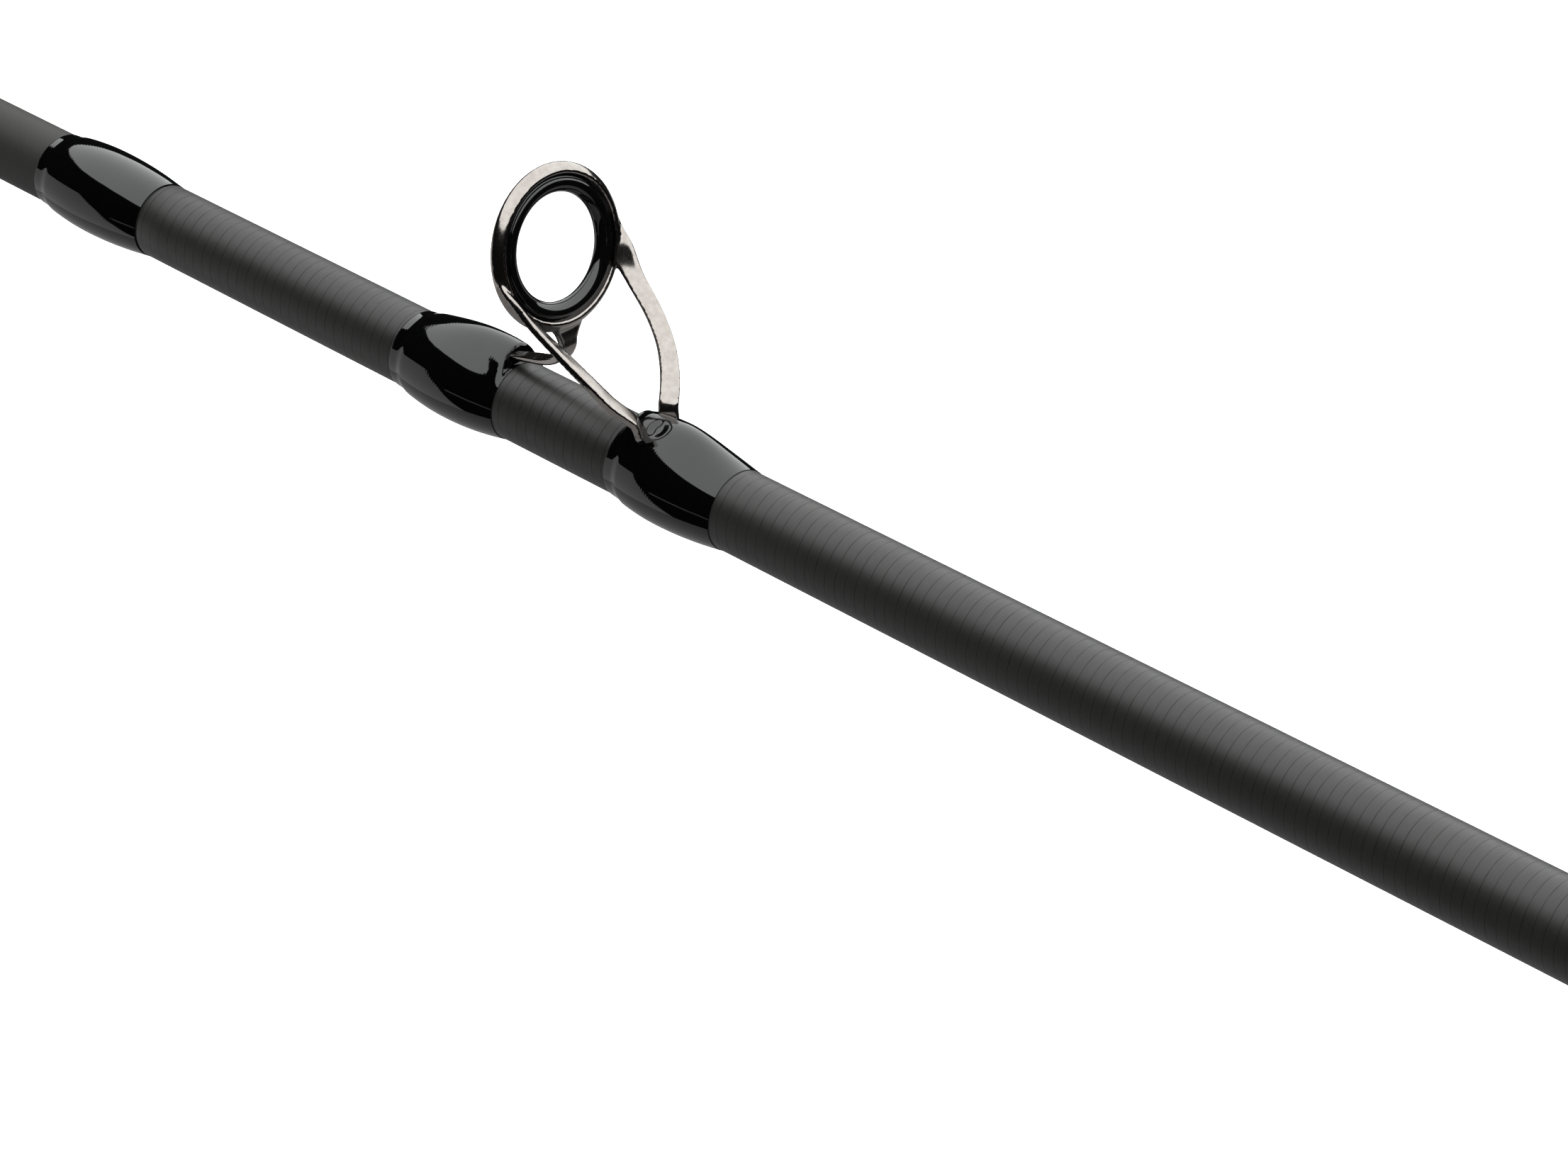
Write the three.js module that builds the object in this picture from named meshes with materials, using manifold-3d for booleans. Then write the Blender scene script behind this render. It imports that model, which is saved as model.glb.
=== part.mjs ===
// A two-piece casting rod with a round baitcasting reel on its seat.
// Millimetres, +Z up. The origin is the centre of the butt cap's flat end. The rod lies along X:
// the tip points to -X, the guides and the reel stand on the +Z side, and the crank is on the +Y side.
// A station is a distance from the butt end, so a piece at station s lies at x = -s.

import * as THREE from "three";
import { mergeVertices } from "three/addons/utils/BufferGeometryUtils.js";
import Module from "manifold-3d";

const wasm = await Module();
wasm.setup();

// ---- driving dimensions -------------------------------------------------------------------------

const ROD_LENGTH = 1829;
const GAP = 0.3; // clearance between pieces that are fitted or glued together
const FIT = 0.1; // radial clearance between coaxial pieces

// Blank: its radius at a few stations of each section, straight tapers in between.
const STRIPPER_STATION = 837.8; // under the centre of the largest guide's ring
const JOINT_STATION = 915; // where the tip section's socket ends
const STRIPPER_BLANK_RADIUS = 5.52;
const BUTT_TAPER = 0.003075; // radius gained per millimetre towards the butt
const TIP_TAPER = [[JOINT_STATION, 5.26], [1100, 4.5], [1400, 2.95], [ROD_LENGTH - 6.5, 1.15]];
const BLANK_WALL = 1.4;
const SPIGOT = { length: 62, rootRadius: 4.15, endRadius: 4.0, wall: 1.3 };
const SOCKET_DEPTH = 66;
const TIP_BORE_END = 1380;

// Handle, from the butt end forwards.
const CAP = { end: 30, radius: 14, faceRadius: 11.5, blankStart: 12 };
const REAR_GRIP = { start: 30.3, end: 288, radius: 13.4, waist: 11.9 };
const SEAT = { start: 288.3, end: 424, bodyRadius: 11.5, barrelRadius: 10.2, barrelStart: 364, bore: 8.2 };
const FOOT_FLAT = 9; // height of the flat that the reel foot rests on
const FOOT = { start: 309, end: 375, width: 13.4, thick: 2.7, toe: 1.5 };
const TRIGGER = { station: 352, top: -9, half: 4.2 };
const HOOD = { start: 368, end: 386, radius: 13.3, reach: 11.6 };
const NUT = { end: 402, radius: 13.6, ribs: 10 };
const FORE_GRIP = { end: 486, radius: 13.2, noseRadius: 9.2 };
const CHECK = { start: 486.3, end: 490, radius: 8.9 };

// Guides: station of the ring's centre, ring size (its outer diameter) and number of feet.
const RING_BORE_SHARE = 0.75;
const BAND_SHARE = 1.08; // outer radius of the metal band over the seat's radius
const RING_LEAN = THREE.MathUtils.degToRad(13);
const RING_SETBACK = 0.65; // ring centre behind the guide's station on the size 20 guide
const STRIPPER_HEIGHT = 20.9; // ring centre above the blank on the size 20 guide
const LEG = { width: 2.8, thick: 1.2 };
// A rear leg on the size 20 guide: distance behind the ring, half spacing, share of the drop to the foot.
const LEG_PATH = [
  [0.6, 10.5, 0.03],
  [3.6, 10.0, 0.22],
  [7.2, 9.1, 0.36],
  [11.6, 7.9, 0.56],
  [15.3, 5.9, 0.79],
  [17.6, 3.1, 0.93],
  [18.6, 1.1, 1],
];
const GUIDES = [
  { station: STRIPPER_STATION, size: 20, feet: 2 },
  { station: 1104, size: 16, feet: 2 },
  { station: 1299, size: 12, feet: 1 },
  { station: 1464, size: 10, feet: 1 },
  { station: 1604, size: 10, feet: 1 },
  { station: 1724, size: 10, feet: 1 },
];
const TIP_TOP = { size: 10, height: 8.6, sleeve: 24 };

// Facets round a turned piece. Multiples of four, so that it reaches its full width and height.
const FINE = 20;
const PLAIN = 20;
const COARSE = 16;
const SMALL = 12;

// Reel: the spool axis is the reel's centre. Its gears share one module.
const REEL = { station: 342, axisHeight: 39.5 };
const PLATE = { radius: 27, inner: 16.4, outer: 19, window: 17.2 };
const BRIDGE = { front: 9, back: 12, low: 27.2, high: 23.4 }; // from the reel's centre
const PILLARS = [[-13.8, -20.4, 2], [20, -14.8, 2.2], [-12, 21.4, 2]]; // x and z from the centre, radius
const SPOOL = { flange: 16, arbor: 9.5, half: 15.6, inside: 13.4, shaft: 1.5 };
const GEAR_MODULE = 0.72;
const DRIVE_TEETH = 30;
const PINION_TEETH = 6;
const WORM_TEETH = 10;
const GEAR_FACE = [22, 25];
const LEFT_COVER_END = -30;
const RIGHT_COVER_END = 36;
const COVER_WALL = 1.6;
const CRANK_REACH = 42;
const CRANK_TURN = THREE.MathUtils.degToRad(-28);
const LINE_EYE = { radius: 5, bore: 3.4, rise: 7 };
const WORM_BORE = 2.8;
const GUIDE_BAR_BORE = 1.6;
const DRIVE_SHAFT = { start: 20, end: 52, radius: 2.5, bore: 2.8 };
const STAR = { arms: 5, low: 42.4, high: 45.2, reach: 16.6, root: 7.4, hub: 5.8 };
const CRANK = { low: 47, high: 49.6, end: 5 };
const KNOB_BORE = 1.9;
const BEARING_RADIUS = 4.5;
const CAP_RADIUS = 6.4;

// ---- helpers --------------------------------------------------------------------------------------

const rod = new THREE.Group();

function finish(color, roughness, metalness) {
  return { color, roughness, metalness };
}

const FINISH = {
  graphite: finish(0x2b2b2c, 0.45, 0.1),
  satinGraphite: finish(0x454545, 0.5, 0.1),
  epoxy: finish(0x070708, 0.05, 0),
  metal: finish(0x8d857e, 0.18, 1),
  ceramic: finish(0x08080a, 0.08, 0),
  foam: finish(0x1c1c1d, 0.9, 0),
  rubber: finish(0x141414, 0.7, 0),
  plastic: finish(0x151516, 0.4, 0),
  darkMetal: finish(0x2e3034, 0.25, 1),
  bright: finish(0xb9bcc0, 0.2, 1),
  brass: finish(0xb08d4f, 0.3, 1),
};

// A solid from a closed geometry, with its faces turned outwards.
function solid(geometry) {
  const bare = geometry.index ? geometry.toNonIndexed() : geometry.clone();
  bare.deleteAttribute("normal");
  bare.deleteAttribute("uv");
  const merged = mergeVertices(bare, 1e-4);
  const place = merged.attributes.position;
  const corner = [new THREE.Vector3(), new THREE.Vector3(), new THREE.Vector3()];
  const triangles = [];
  let volume = 0;
  for (let i = 0; i < merged.index.count; i += 3) {
    const ids = [0, 1, 2].map((k) => merged.index.getX(i + k));
    if (new Set(ids).size < 3) continue;
    ids.forEach((id, k) => corner[k].fromBufferAttribute(place, id));
    volume += corner[0].dot(corner[1].clone().cross(corner[2]));
    triangles.push(ids);
  }
  const outward = volume > 0 ? triangles : triangles.map(([a, b, c]) => [a, c, b]);
  return new wasm.Manifold(new wasm.Mesh({
    numProp: 3,
    vertProperties: new Float32Array(place.array),
    triVerts: new Uint32Array(outward.flat()),
  }));
}

function geometryOf(manifold) {
  const mesh = manifold.getMesh();
  const geometry = new THREE.BufferGeometry();
  geometry.setAttribute("position", new THREE.BufferAttribute(mesh.vertProperties, 3));
  geometry.setIndex(new THREE.BufferAttribute(mesh.triVerts, 1));
  geometry.computeVertexNormals();
  return geometry;
}

function joined(first, ...others) {
  return others.reduce((sum, other) => sum.add(other), first);
}

function cut(first, ...others) {
  return others.reduce((rest, other) => rest.subtract(other), first);
}

function add(name, manifold, look) {
  const mesh = new THREE.Mesh(geometryOf(manifold), new THREE.MeshStandardMaterial(look));
  mesh.name = name;
  rod.add(mesh);
}

function box(low, high) {
  const size = high.map((value, i) => value - low[i]);
  const geometry = new THREE.BoxGeometry(...size);
  geometry.translate(...high.map((value, i) => (value + low[i]) / 2));
  return solid(geometry);
}

// A body turned about the X axis, from [x, radius] pairs, and then moved by an optional matrix.
function turnedX(profile, segments, place) {
  const points = profile.map(([x, radius]) => new THREE.Vector2(radius, x));
  const geometry = new THREE.LatheGeometry(points, segments);
  geometry.rotateZ(-Math.PI / 2);
  if (place) geometry.applyMatrix4(place);
  return solid(geometry);
}

// A body turned about the line parallel to Y through (x, z), from [y, radius] pairs.
function turnedY(profile, segments, x = 0, z = 0) {
  const points = profile.map(([y, radius]) => new THREE.Vector2(radius, y));
  const geometry = new THREE.LatheGeometry(points, segments);
  geometry.translate(x, 0, z);
  return solid(geometry);
}

// The closed profile of a tube whose outside is given as [position, radius] pairs.
function tube(outside, startBore, endBore = startBore) {
  const [start] = outside[0];
  const [end] = outside[outside.length - 1];
  return [...outside, [end, endBore], [start, startBore], outside[0]];
}

// The closed profile of a plain rod.
function bar(start, end, radius) {
  return [[start, 0], [start, radius], [end, radius], [end, 0]];
}

// An outline in (x, z), extruded along Y between two values.
function slabY(shape, low, high, curveSegments = 6) {
  const settings = { depth: high - low, bevelEnabled: false, curveSegments };
  const geometry = new THREE.ExtrudeGeometry(shape, settings);
  geometry.rotateX(Math.PI / 2);
  geometry.translate(0, high, 0);
  return solid(geometry);
}

function outline(points) {
  return new THREE.Shape(points.map(([a, b]) => new THREE.Vector2(a, b)));
}

// A flat strip swept along a curve: width across the guide, thickness off its face.
function strip(points, width, thickness, steps) {
  const path = new THREE.CatmullRomCurve3(points.map((p) => new THREE.Vector3(...p)));
  const section = outline([
    [-width / 2, -thickness / 2],
    [width / 2, -thickness / 2],
    [width / 2, thickness / 2],
    [-width / 2, thickness / 2],
  ]);
  return solid(new THREE.ExtrudeGeometry(section, { extrudePath: path, steps, bevelEnabled: false }));
}

// ---- blank ------------------------------------------------------------------------------------------

function buttRadius(station) {
  return STRIPPER_BLANK_RADIUS + BUTT_TAPER * (STRIPPER_STATION - station);
}

function tipRadius(station) {
  const last = TIP_TAPER.findIndex(([s]) => s >= station);
  const i = Math.max(1, last < 0 ? TIP_TAPER.length - 1 : last);
  const [s0, r0] = TIP_TAPER[i - 1];
  const [s1, r1] = TIP_TAPER[i];
  return THREE.MathUtils.mapLinear(station, s0, s1, r0, r1);
}

function blankRadius(station) {
  return station < JOINT_STATION ? buttRadius(station) : tipRadius(station);
}

function buildBlank() {
  const spigotEnd = JOINT_STATION + SPIGOT.length;
  const boreEnd = SPIGOT.rootRadius - SPIGOT.wall;
  const outside = [
    [CAP.blankStart, buttRadius(CAP.blankStart)],
    [JOINT_STATION, buttRadius(JOINT_STATION)],
    [JOINT_STATION, SPIGOT.rootRadius],
    [spigotEnd, SPIGOT.endRadius],
  ];
  const bore = [
    [spigotEnd, boreEnd],
    [JOINT_STATION - 12, boreEnd],
    [JOINT_STATION - 30, buttRadius(JOINT_STATION - 30) - BLANK_WALL],
    [CAP.blankStart, buttRadius(CAP.blankStart) - BLANK_WALL],
  ];
  const butt = [...outside, ...bore, outside[0]].map(([s, r]) => [-s, r]);
  add("butt_blank", turnedX(butt, COARSE), FINISH.graphite);

  const mouth = JOINT_STATION + GAP;
  const socketEnd = JOINT_STATION + SOCKET_DEPTH;
  const tip = [
    [mouth, tipRadius(mouth)],
    ...TIP_TAPER.slice(1),
    [TIP_TAPER[TIP_TAPER.length - 1][0], 0],
    [TIP_BORE_END, 0],
    [TIP_BORE_END, 1.6],
    [socketEnd + 2, 2.9],
    [socketEnd, SPIGOT.endRadius + FIT],
    [mouth, SPIGOT.rootRadius + FIT],
    [mouth, tipRadius(mouth)],
  ];
  add("tip_blank", turnedX(tip.map(([s, r]) => [-s, r]), COARSE), FINISH.satinGraphite);
}

// ---- guides -----------------------------------------------------------------------------------------

// A thread wrap sealed in epoxy: a low dome, highest nearer its tip end.
function wrapSolid(start, end, bulge, ...slots) {
  const length = end - start;
  const share = [[0, 0.1], [0.3, 0.7], [0.68, 1], [0.9, 0.6], [1, 0.1]];
  const outside = share.map(([part, rise]) => {
    const station = start + part * length;
    return [-station, blankRadius(station) + FIT + 0.1 + bulge * rise];
  });
  const profile = tube(outside, blankRadius(start) + FIT, blankRadius(end) + FIT);
  return cut(turnedX(profile, COARSE), ...slots);
}

// The metal foot in a wrap, and the slot that the wrap leaves around it. The slot is open at the top.
function footBoxes(start, end, half, under, rise, y = 0) {
  const tongue = box([-end, y - half, under + GAP], [-start, y + half, under + rise]);
  const room = box([-end - GAP, y - half - GAP, under - 2], [-start + GAP, y + half + GAP, under + rise + 3]);
  return { tongue, room };
}

// The metal band round a ring insert, joined to its legs and cleared of the insert's own space.
function ringFrame(size, guide, ...legs) {
  const inner = size / 2;
  const outer = BAND_SHARE * inner;
  const half = 0.095 * size;
  const place = ringPlace(guide);
  const band = turnedX(tube([[-half, outer], [half, outer]], inner), guide.segments, place);
  const room = turnedX(bar(-2 * half, 2 * half, inner), guide.segments, place);
  return cut(joined(band, ...legs), room);
}

// A ring leans towards the tip at its top.
function ringPlace({ x, height }) {
  const lean = new THREE.Matrix4().makeRotationY(-RING_LEAN);
  return new THREE.Matrix4().makeTranslation(x, 0, height).multiply(lean);
}

function ringInsert(size, guide) {
  const outer = size / 2 - GAP;
  const bore = (size / 2) * RING_BORE_SHARE;
  const half = 0.09 * size;
  const lip = 0.03 * size;
  const outside = [[-half, outer - lip], [-half + lip, outer], [half - lip, outer], [half, outer - lip]];
  return turnedX(tube(outside, bore), guide.segments, ringPlace(guide));
}

// Two legs leave the ring's sides, bow outwards and meet on the foot behind the ring.
function rearLegs(k, guide, footTop) {
  const drop = guide.height - footTop;
  return [-1, 1].map((side) => {
    const points = LEG_PATH.map(([x, y, fall]) => [
      guide.x + k * x,
      side * k * y,
      guide.height - drop * fall,
    ]);
    return strip(points, LEG.width * k, LEG.thick * k, guide.segments > SMALL ? 7 : 5);
  });
}

// The front leg drops from the ring's foot and curls towards the tip.
function frontLeg(k, guide, footTop) {
  const low = footTop + 0.35 * k;
  const path = [
    [guide.x + 2.3 * k, 0, guide.height - 9.8 * k],
    [guide.x + 2.3 * k, 0, guide.height - 13.5 * k],
    [guide.x + 1.4 * k, 0, low + 1.5 * k],
    [guide.x - 1.8 * k, 0, low + 0.2 * k],
    [guide.x - 6.4 * k, 0, low - 0.4 * k],
  ];
  return strip(path, 3.4 * k, 1.1 * k, 6);
}

function buildGuide({ station, size, feet }, number) {
  const k = size / 20;
  const segments = size > 12 ? PLAIN : SMALL;
  const height = blankRadius(station) + STRIPPER_HEIGHT * k;
  const guide = { x: -station + RING_SETBACK * k, height, segments };
  const footRise = 0.55 + 0.5 * k;
  const footHalf = 1.1 + 0.9 * k;
  const bulge = 0.75 + 0.6 * k;

  const rear = { start: station - 33.9 * k, end: station - 14.6 * k };
  const rearUnder = blankRadius(rear.start);
  const rearFoot = footBoxes(rear.start + 3 * k, rear.end - 2.2 * k, footHalf, rearUnder, footRise);
  const neck = footBoxes(rear.end - 5.2 * k, rear.end - 2.2 * k, footHalf, rearUnder, footRise + 0.9 * k);
  const frame = [...rearLegs(k, guide, rearUnder + footRise), rearFoot.tongue, neck.tongue];
  const rooms = [rearFoot.room, neck.room, legRoom(k, guide, rearUnder)];
  const sleeve = feet === 2 ? `guide_${number}_rear_wrap` : `guide_${number}_wrap`;
  add(sleeve, wrapSolid(rear.start, rear.end, bulge, ...rooms), FINISH.epoxy);

  if (feet === 2) {
    const front = { start: station + 6.6 * k, end: station + 26.3 * k };
    const frontUnder = blankRadius(front.start);
    const frontFoot = footBoxes(front.start - 1.5 * k, front.end - 4 * k, footHalf, frontUnder, footRise);
    frame.push(frontLeg(k, guide, frontUnder + footRise), frontFoot.tongue);
    add(`guide_${number}_front_wrap`, wrapSolid(front.start, front.end, bulge, frontFoot.room), FINISH.epoxy);
  }
  add(`guide_${number}_frame`, ringFrame(size, guide, ...frame), FINISH.metal);
  add(`guide_${number}_ring`, ringInsert(size, guide), FINISH.ceramic);
}

// Room above the rear foot where the legs come down through the wrap.
function legRoom(k, guide, under) {
  const low = under + 0.2;
  const half = 3.9 * k + 1;
  return box([guide.x + 14.2 * k, -half, low], [guide.x + 20.6 * k, half, low + 6]);
}

function buildTipTop() {
  const { size, height } = TIP_TOP;
  const end = ROD_LENGTH;
  const reach = (size / 2 + 0.85) * Math.sin(RING_LEAN) + 0.9;
  const guide = { x: -(end - reach), height, segments: SMALL };
  const sleeveStart = end - TIP_TOP.sleeve;
  const blankEnd = end - 6;
  const sleeve = tube([[-sleeveStart, 2.1], [-blankEnd, 2]], blankRadius(sleeveStart) + FIT);
  const nose = turnedX(bar(-(end - 3.6), -blankEnd, 2), SMALL);
  const shell = joined(turnedX(sleeve, SMALL), nose);
  const legs = [-1, 1].map((side) => strip([
    [guide.x + 1.2, side * 5.4, guide.height - 1],
    [guide.x + 3.6, side * 4.6, guide.height - 3.4],
    [guide.x + 8.2, side * 2.4, 3.2],
    [guide.x + 12.4, side * 1.4, 1.6],
  ], 1.3, 1, 4));
  const drop = [[guide.x + 1.1, 0, guide.height - 5], [guide.x + 1.6, 0, 3.2], [guide.x + 2, 0, 1.2]];
  const post = strip(drop, 2, 1, 3);
  add("tip_top_frame", ringFrame(size, guide, shell, ...legs, post), FINISH.metal);
  add("tip_top_ring", ringInsert(size, guide), FINISH.ceramic);
  add("tip_top_wrap", wrapSolid(sleeveStart - 9, sleeveStart - GAP, 0.6), FINISH.epoxy);
}

// ---- handle -----------------------------------------------------------------------------------------

function gripProfile(start, end, radii) {
  const step = (end - start) / (radii.length - 1);
  return radii.map((radius, i) => [-(start + i * step), radius]);
}

function buildHandle() {
  const capBore = blankRadius(CAP.blankStart) + FIT;
  add("butt_cap", turnedX([
    [0, 0],
    [0, CAP.faceRadius],
    [-2.5, CAP.radius],
    [-CAP.end, CAP.radius - 0.4],
    [-CAP.end, capBore],
    [-CAP.blankStart + GAP, capBore],
    [-CAP.blankStart + GAP, 0],
  ], PLAIN), FINISH.rubber);

  const rear = gripProfile(REAR_GRIP.start, REAR_GRIP.end, [
    REAR_GRIP.radius,
    REAR_GRIP.radius - 0.2,
    REAR_GRIP.waist,
    REAR_GRIP.waist + 0.5,
    REAR_GRIP.radius - 0.9,
  ]);
  const rearBore = [blankRadius(REAR_GRIP.start) + FIT, blankRadius(REAR_GRIP.end) + FIT];
  add("rear_grip", turnedX(tube(rear, ...rearBore), PLAIN), FINISH.foam);

  const arborEnds = [SEAT.start + 2, SEAT.end - 2];
  const arborBores = arborEnds.map((s) => blankRadius(s) + FIT);
  const arbor = tube(arborEnds.map((s) => [-s, SEAT.bore - FIT]), ...arborBores);
  add("seat_arbor", turnedX(arbor, COARSE), FINISH.plastic);

  const foreStart = SEAT.end + GAP;
  const fore = gripProfile(foreStart, FORE_GRIP.end, [
    FORE_GRIP.radius - 0.8,
    FORE_GRIP.radius,
    FORE_GRIP.radius - 0.6,
    FORE_GRIP.radius - 2,
    FORE_GRIP.noseRadius,
  ]);
  const foreBore = [blankRadius(foreStart) + FIT, blankRadius(FORE_GRIP.end) + FIT];
  add("fore_grip", turnedX(tube(fore, ...foreBore), PLAIN), FINISH.foam);

  const check = tube([
    [-CHECK.start, CHECK.radius],
    [-CHECK.end + 0.8, CHECK.radius - 0.3],
    [-CHECK.end, CHECK.radius - 1.2],
  ], blankRadius(CHECK.start) + FIT);
  add("winding_check", turnedX(check, PLAIN), FINISH.bright);
}

// The finger hook under the seat, in (x, z) from its front corner on the seat.
function triggerShape() {
  const shape = new THREE.Shape();
  shape.moveTo(0, 0);
  shape.bezierCurveTo(2, -6, 6, -8, 8, -15);
  shape.bezierCurveTo(9, -20, 13, -22, 15.5, -19.5);
  shape.bezierCurveTo(17, -17, 14, -12, 15, -8);
  shape.bezierCurveTo(16, -4.5, 21, -3.5, 30, 0);
  return shape;
}

function buildSeat() {
  const body = tube([
    [-SEAT.start, 12.2],
    [-(SEAT.start + 4), 13.9],
    [-(FOOT.start + 6), 13.9],
    [-(FOOT.start + 8), SEAT.bodyRadius],
    [-SEAT.barrelStart, SEAT.bodyRadius],
    [-SEAT.barrelStart - 0.6, SEAT.barrelRadius],
    [-SEAT.end, SEAT.barrelRadius],
  ], SEAT.bore);
  const half = FOOT.width / 2 + GAP;
  const flat = box([-(HOOD.start + 16), -15, FOOT_FLAT], [-(FOOT.start + 6), 15, 20]);
  const pocketTop = FOOT_FLAT + FOOT.toe + 2 * GAP;
  const pocket = box([-(FOOT.start + 8), -half, FOOT_FLAT], [-(FOOT.start - GAP), half, pocketTop]);
  const hook = slabY(triggerShape(), -TRIGGER.half, TRIGGER.half, 5);
  const trigger = hook.translate([-TRIGGER.station, 0, TRIGGER.top]);
  const bore = turnedX(bar(-SEAT.end, -SEAT.start, SEAT.bore), COARSE);
  add("reel_seat", cut(joined(turnedX(body, PLAIN), trigger), flat, pocket, bore), FINISH.plastic);

  const hoodBore = SEAT.barrelRadius + GAP;
  const hood = turnedX(tube([
    [-HOOD.start, HOOD.radius],
    [-(HOOD.end - 2), HOOD.radius],
    [-HOOD.end, HOOD.radius - 1.2],
  ], hoodBore), PLAIN);
  const throat = box([-(FOOT.end + 5), -half, 0], [-HOOD.start + 1, half, HOOD.reach]);
  const room = turnedX(bar(-HOOD.end - 1, -HOOD.start + 1, hoodBore), PLAIN);
  add("moving_hood", cut(hood, throat, room), FINISH.darkMetal);

  const ribs = [];
  for (let i = 0; i < NUT.ribs; i += 1) {
    const turn = new THREE.Matrix4().makeRotationX((2 * Math.PI * (i + 0.5)) / NUT.ribs);
    const place = turn.multiply(new THREE.Matrix4().makeTranslation(0, 0, NUT.radius + 0.3));
    ribs.push(turnedX(bar(-NUT.end + 2, -HOOD.end - 2.5, 1.2), 4, place));
  }
  const nut = turnedX(tube([
    [-(HOOD.end + GAP), NUT.radius - 0.8],
    [-(HOOD.end + 1.5), NUT.radius],
    [-(NUT.end - 1), NUT.radius],
    [-NUT.end, NUT.radius - 0.8],
  ], hoodBore), PLAIN);
  add("lock_nut", cut(nut, ...ribs), FINISH.darkMetal);
}

// A wire loop bound to the blank just in front of the foregrip, to park the hook on.
function buildKeeper() {
  const start = CHECK.end + 6;
  const end = start + 12;
  const under = blankRadius(start);
  const loop = strip([
    [-start - 1, -2.6, under + 0.8],
    [-start + 0.6, -2.6, under + 2.4],
    [-start + 2.2, -1.3, under + 4.6],
    [-start + 2.2, 1.3, under + 4.6],
    [-start + 0.6, 2.6, under + 2.4],
    [-start - 1, 2.6, under + 0.8],
  ], 1, 1, 7);
  const legs = [-2.6, 2.6].map((y) => footBoxes(start, end - 3, 0.5, under - 0.35, 1.35, y));
  const mouth = box([-start - 3, -4, under + 0.3], [-start + 2, 4, under + 4]);
  add("hook_keeper", joined(loop, ...legs.map((leg) => leg.tongue)), FINISH.metal);
  add("hook_keeper_wrap", wrapSolid(start, end, 1.1, ...legs.map((leg) => leg.room), mouth), FINISH.epoxy);
}

// ---- reel -------------------------------------------------------------------------------------------

const CENTRE = { x: -REEL.station, z: REEL.axisHeight };
const pitchRadius = (teeth) => (teeth * GEAR_MODULE) / 2;
const DRIVE = offset(CENTRE, pitchRadius(DRIVE_TEETH) + pitchRadius(PINION_TEETH), -102.5);
const WORM = offset(DRIVE, pitchRadius(DRIVE_TEETH) + pitchRadius(WORM_TEETH), 172);
const GUIDE_BAR = { x: CENTRE.x - 21.5, z: CENTRE.z - 2.4 };

function offset(from, distance, degrees) {
  const angle = THREE.MathUtils.degToRad(degrees);
  return { x: from.x + distance * Math.cos(angle), z: from.z + distance * Math.sin(angle) };
}

function direction(from, to) {
  return Math.atan2(to.z - from.z, to.x - from.x);
}

// A tube and a round bar about an axis parallel to Y.
function sleeveY(low, high, outer, bore, segments, at) {
  return turnedY(tube([[low, outer], [high, outer]], bore), segments, at.x, at.z);
}

function pinY(low, high, radius, segments, at) {
  return turnedY(bar(low, high, radius), segments, at.x, at.z);
}

// The angle of a tooth on a gear that meshes with the drive gear, whose own tooth points at the pinion.
function meshedTooth(teeth, at) {
  const pitches = ((direction(DRIVE, at) - direction(DRIVE, CENTRE)) * DRIVE_TEETH) / (2 * Math.PI);
  const past = pitches - Math.floor(pitches);
  return direction(at, DRIVE) + ((past + 0.5) * 2 * Math.PI) / teeth;
}

// A spur gear with straight-sided teeth, its first tooth at the given angle in the (x, z) plane.
function gear(teeth, at, bore, firstTooth, face = GEAR_FACE) {
  const pitch = pitchRadius(teeth);
  const tip = pitch + 0.62 * GEAR_MODULE;
  const root = pitch - 0.95 * GEAR_MODULE;
  const shape = new THREE.Shape();
  const points = [];
  for (let i = 0; i < teeth; i += 1) {
    const middle = firstTooth + (i * 2 * Math.PI) / teeth;
    const half = Math.PI / teeth;
    const corners = [[root, -0.62], [tip, -0.24], [tip, 0.24], [root, 0.62]];
    corners.forEach(([r, share]) => {
      const angle = middle + share * half;
      points.push(new THREE.Vector2(r * Math.cos(angle), r * Math.sin(angle)));
    });
  }
  shape.setFromPoints(points);
  const body = slabY(shape, ...face).translate([at.x, 0, at.z]);
  return bore ? cut(body, pinY(face[0] - 1, face[1] + 1, bore, SMALL, at)) : body;
}

function buildReelFrame() {
  const half = PLATE.inner + 1;
  const past = PLATE.outer + 1;
  const front = CENTRE.x - BRIDGE.front;
  const back = CENTRE.x + BRIDGE.back;
  const bridge = box([front, -half, CENTRE.z - BRIDGE.low], [back, half, CENTRE.z - BRIDGE.high]);
  const pillars = PILLARS.map(([x, z, radius]) => (
    pinY(-half, half, radius, 8, { x: CENTRE.x + x, z: CENTRE.z + z })
  ));
  const frame = joined(
    sleeveY(-PLATE.outer, -PLATE.inner, PLATE.radius, PLATE.window, FINE, CENTRE),
    sleeveY(PLATE.inner, PLATE.outer, PLATE.radius, PLATE.window, FINE, CENTRE),
    bridge,
    ...pillars,
  );
  const wormHole = pinY(-past, past, WORM_BORE, SMALL, WORM);
  const barHole = pinY(-past, past, GUIDE_BAR_BORE, 8, GUIDE_BAR);
  add("reel_frame", cut(frame, wormHole, barHole), FINISH.darkMetal);

  const footHalf = FOOT.width / 2;
  const low = FOOT_FLAT + GAP;
  const foot = outline([
    [-FOOT.end, low],
    [-FOOT.start, low],
    [-FOOT.start, low + FOOT.toe - 0.4],
    [-FOOT.start - 8, low + FOOT.toe],
    [back, low + FOOT.thick],
    [front, low + FOOT.thick],
    [-FOOT.end + 8, low + FOOT.toe],
    [-FOOT.end, low + FOOT.toe - 0.4],
  ]);
  add("reel_foot", slabY(foot, -footHalf, footHalf), FINISH.bright);
}

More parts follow.
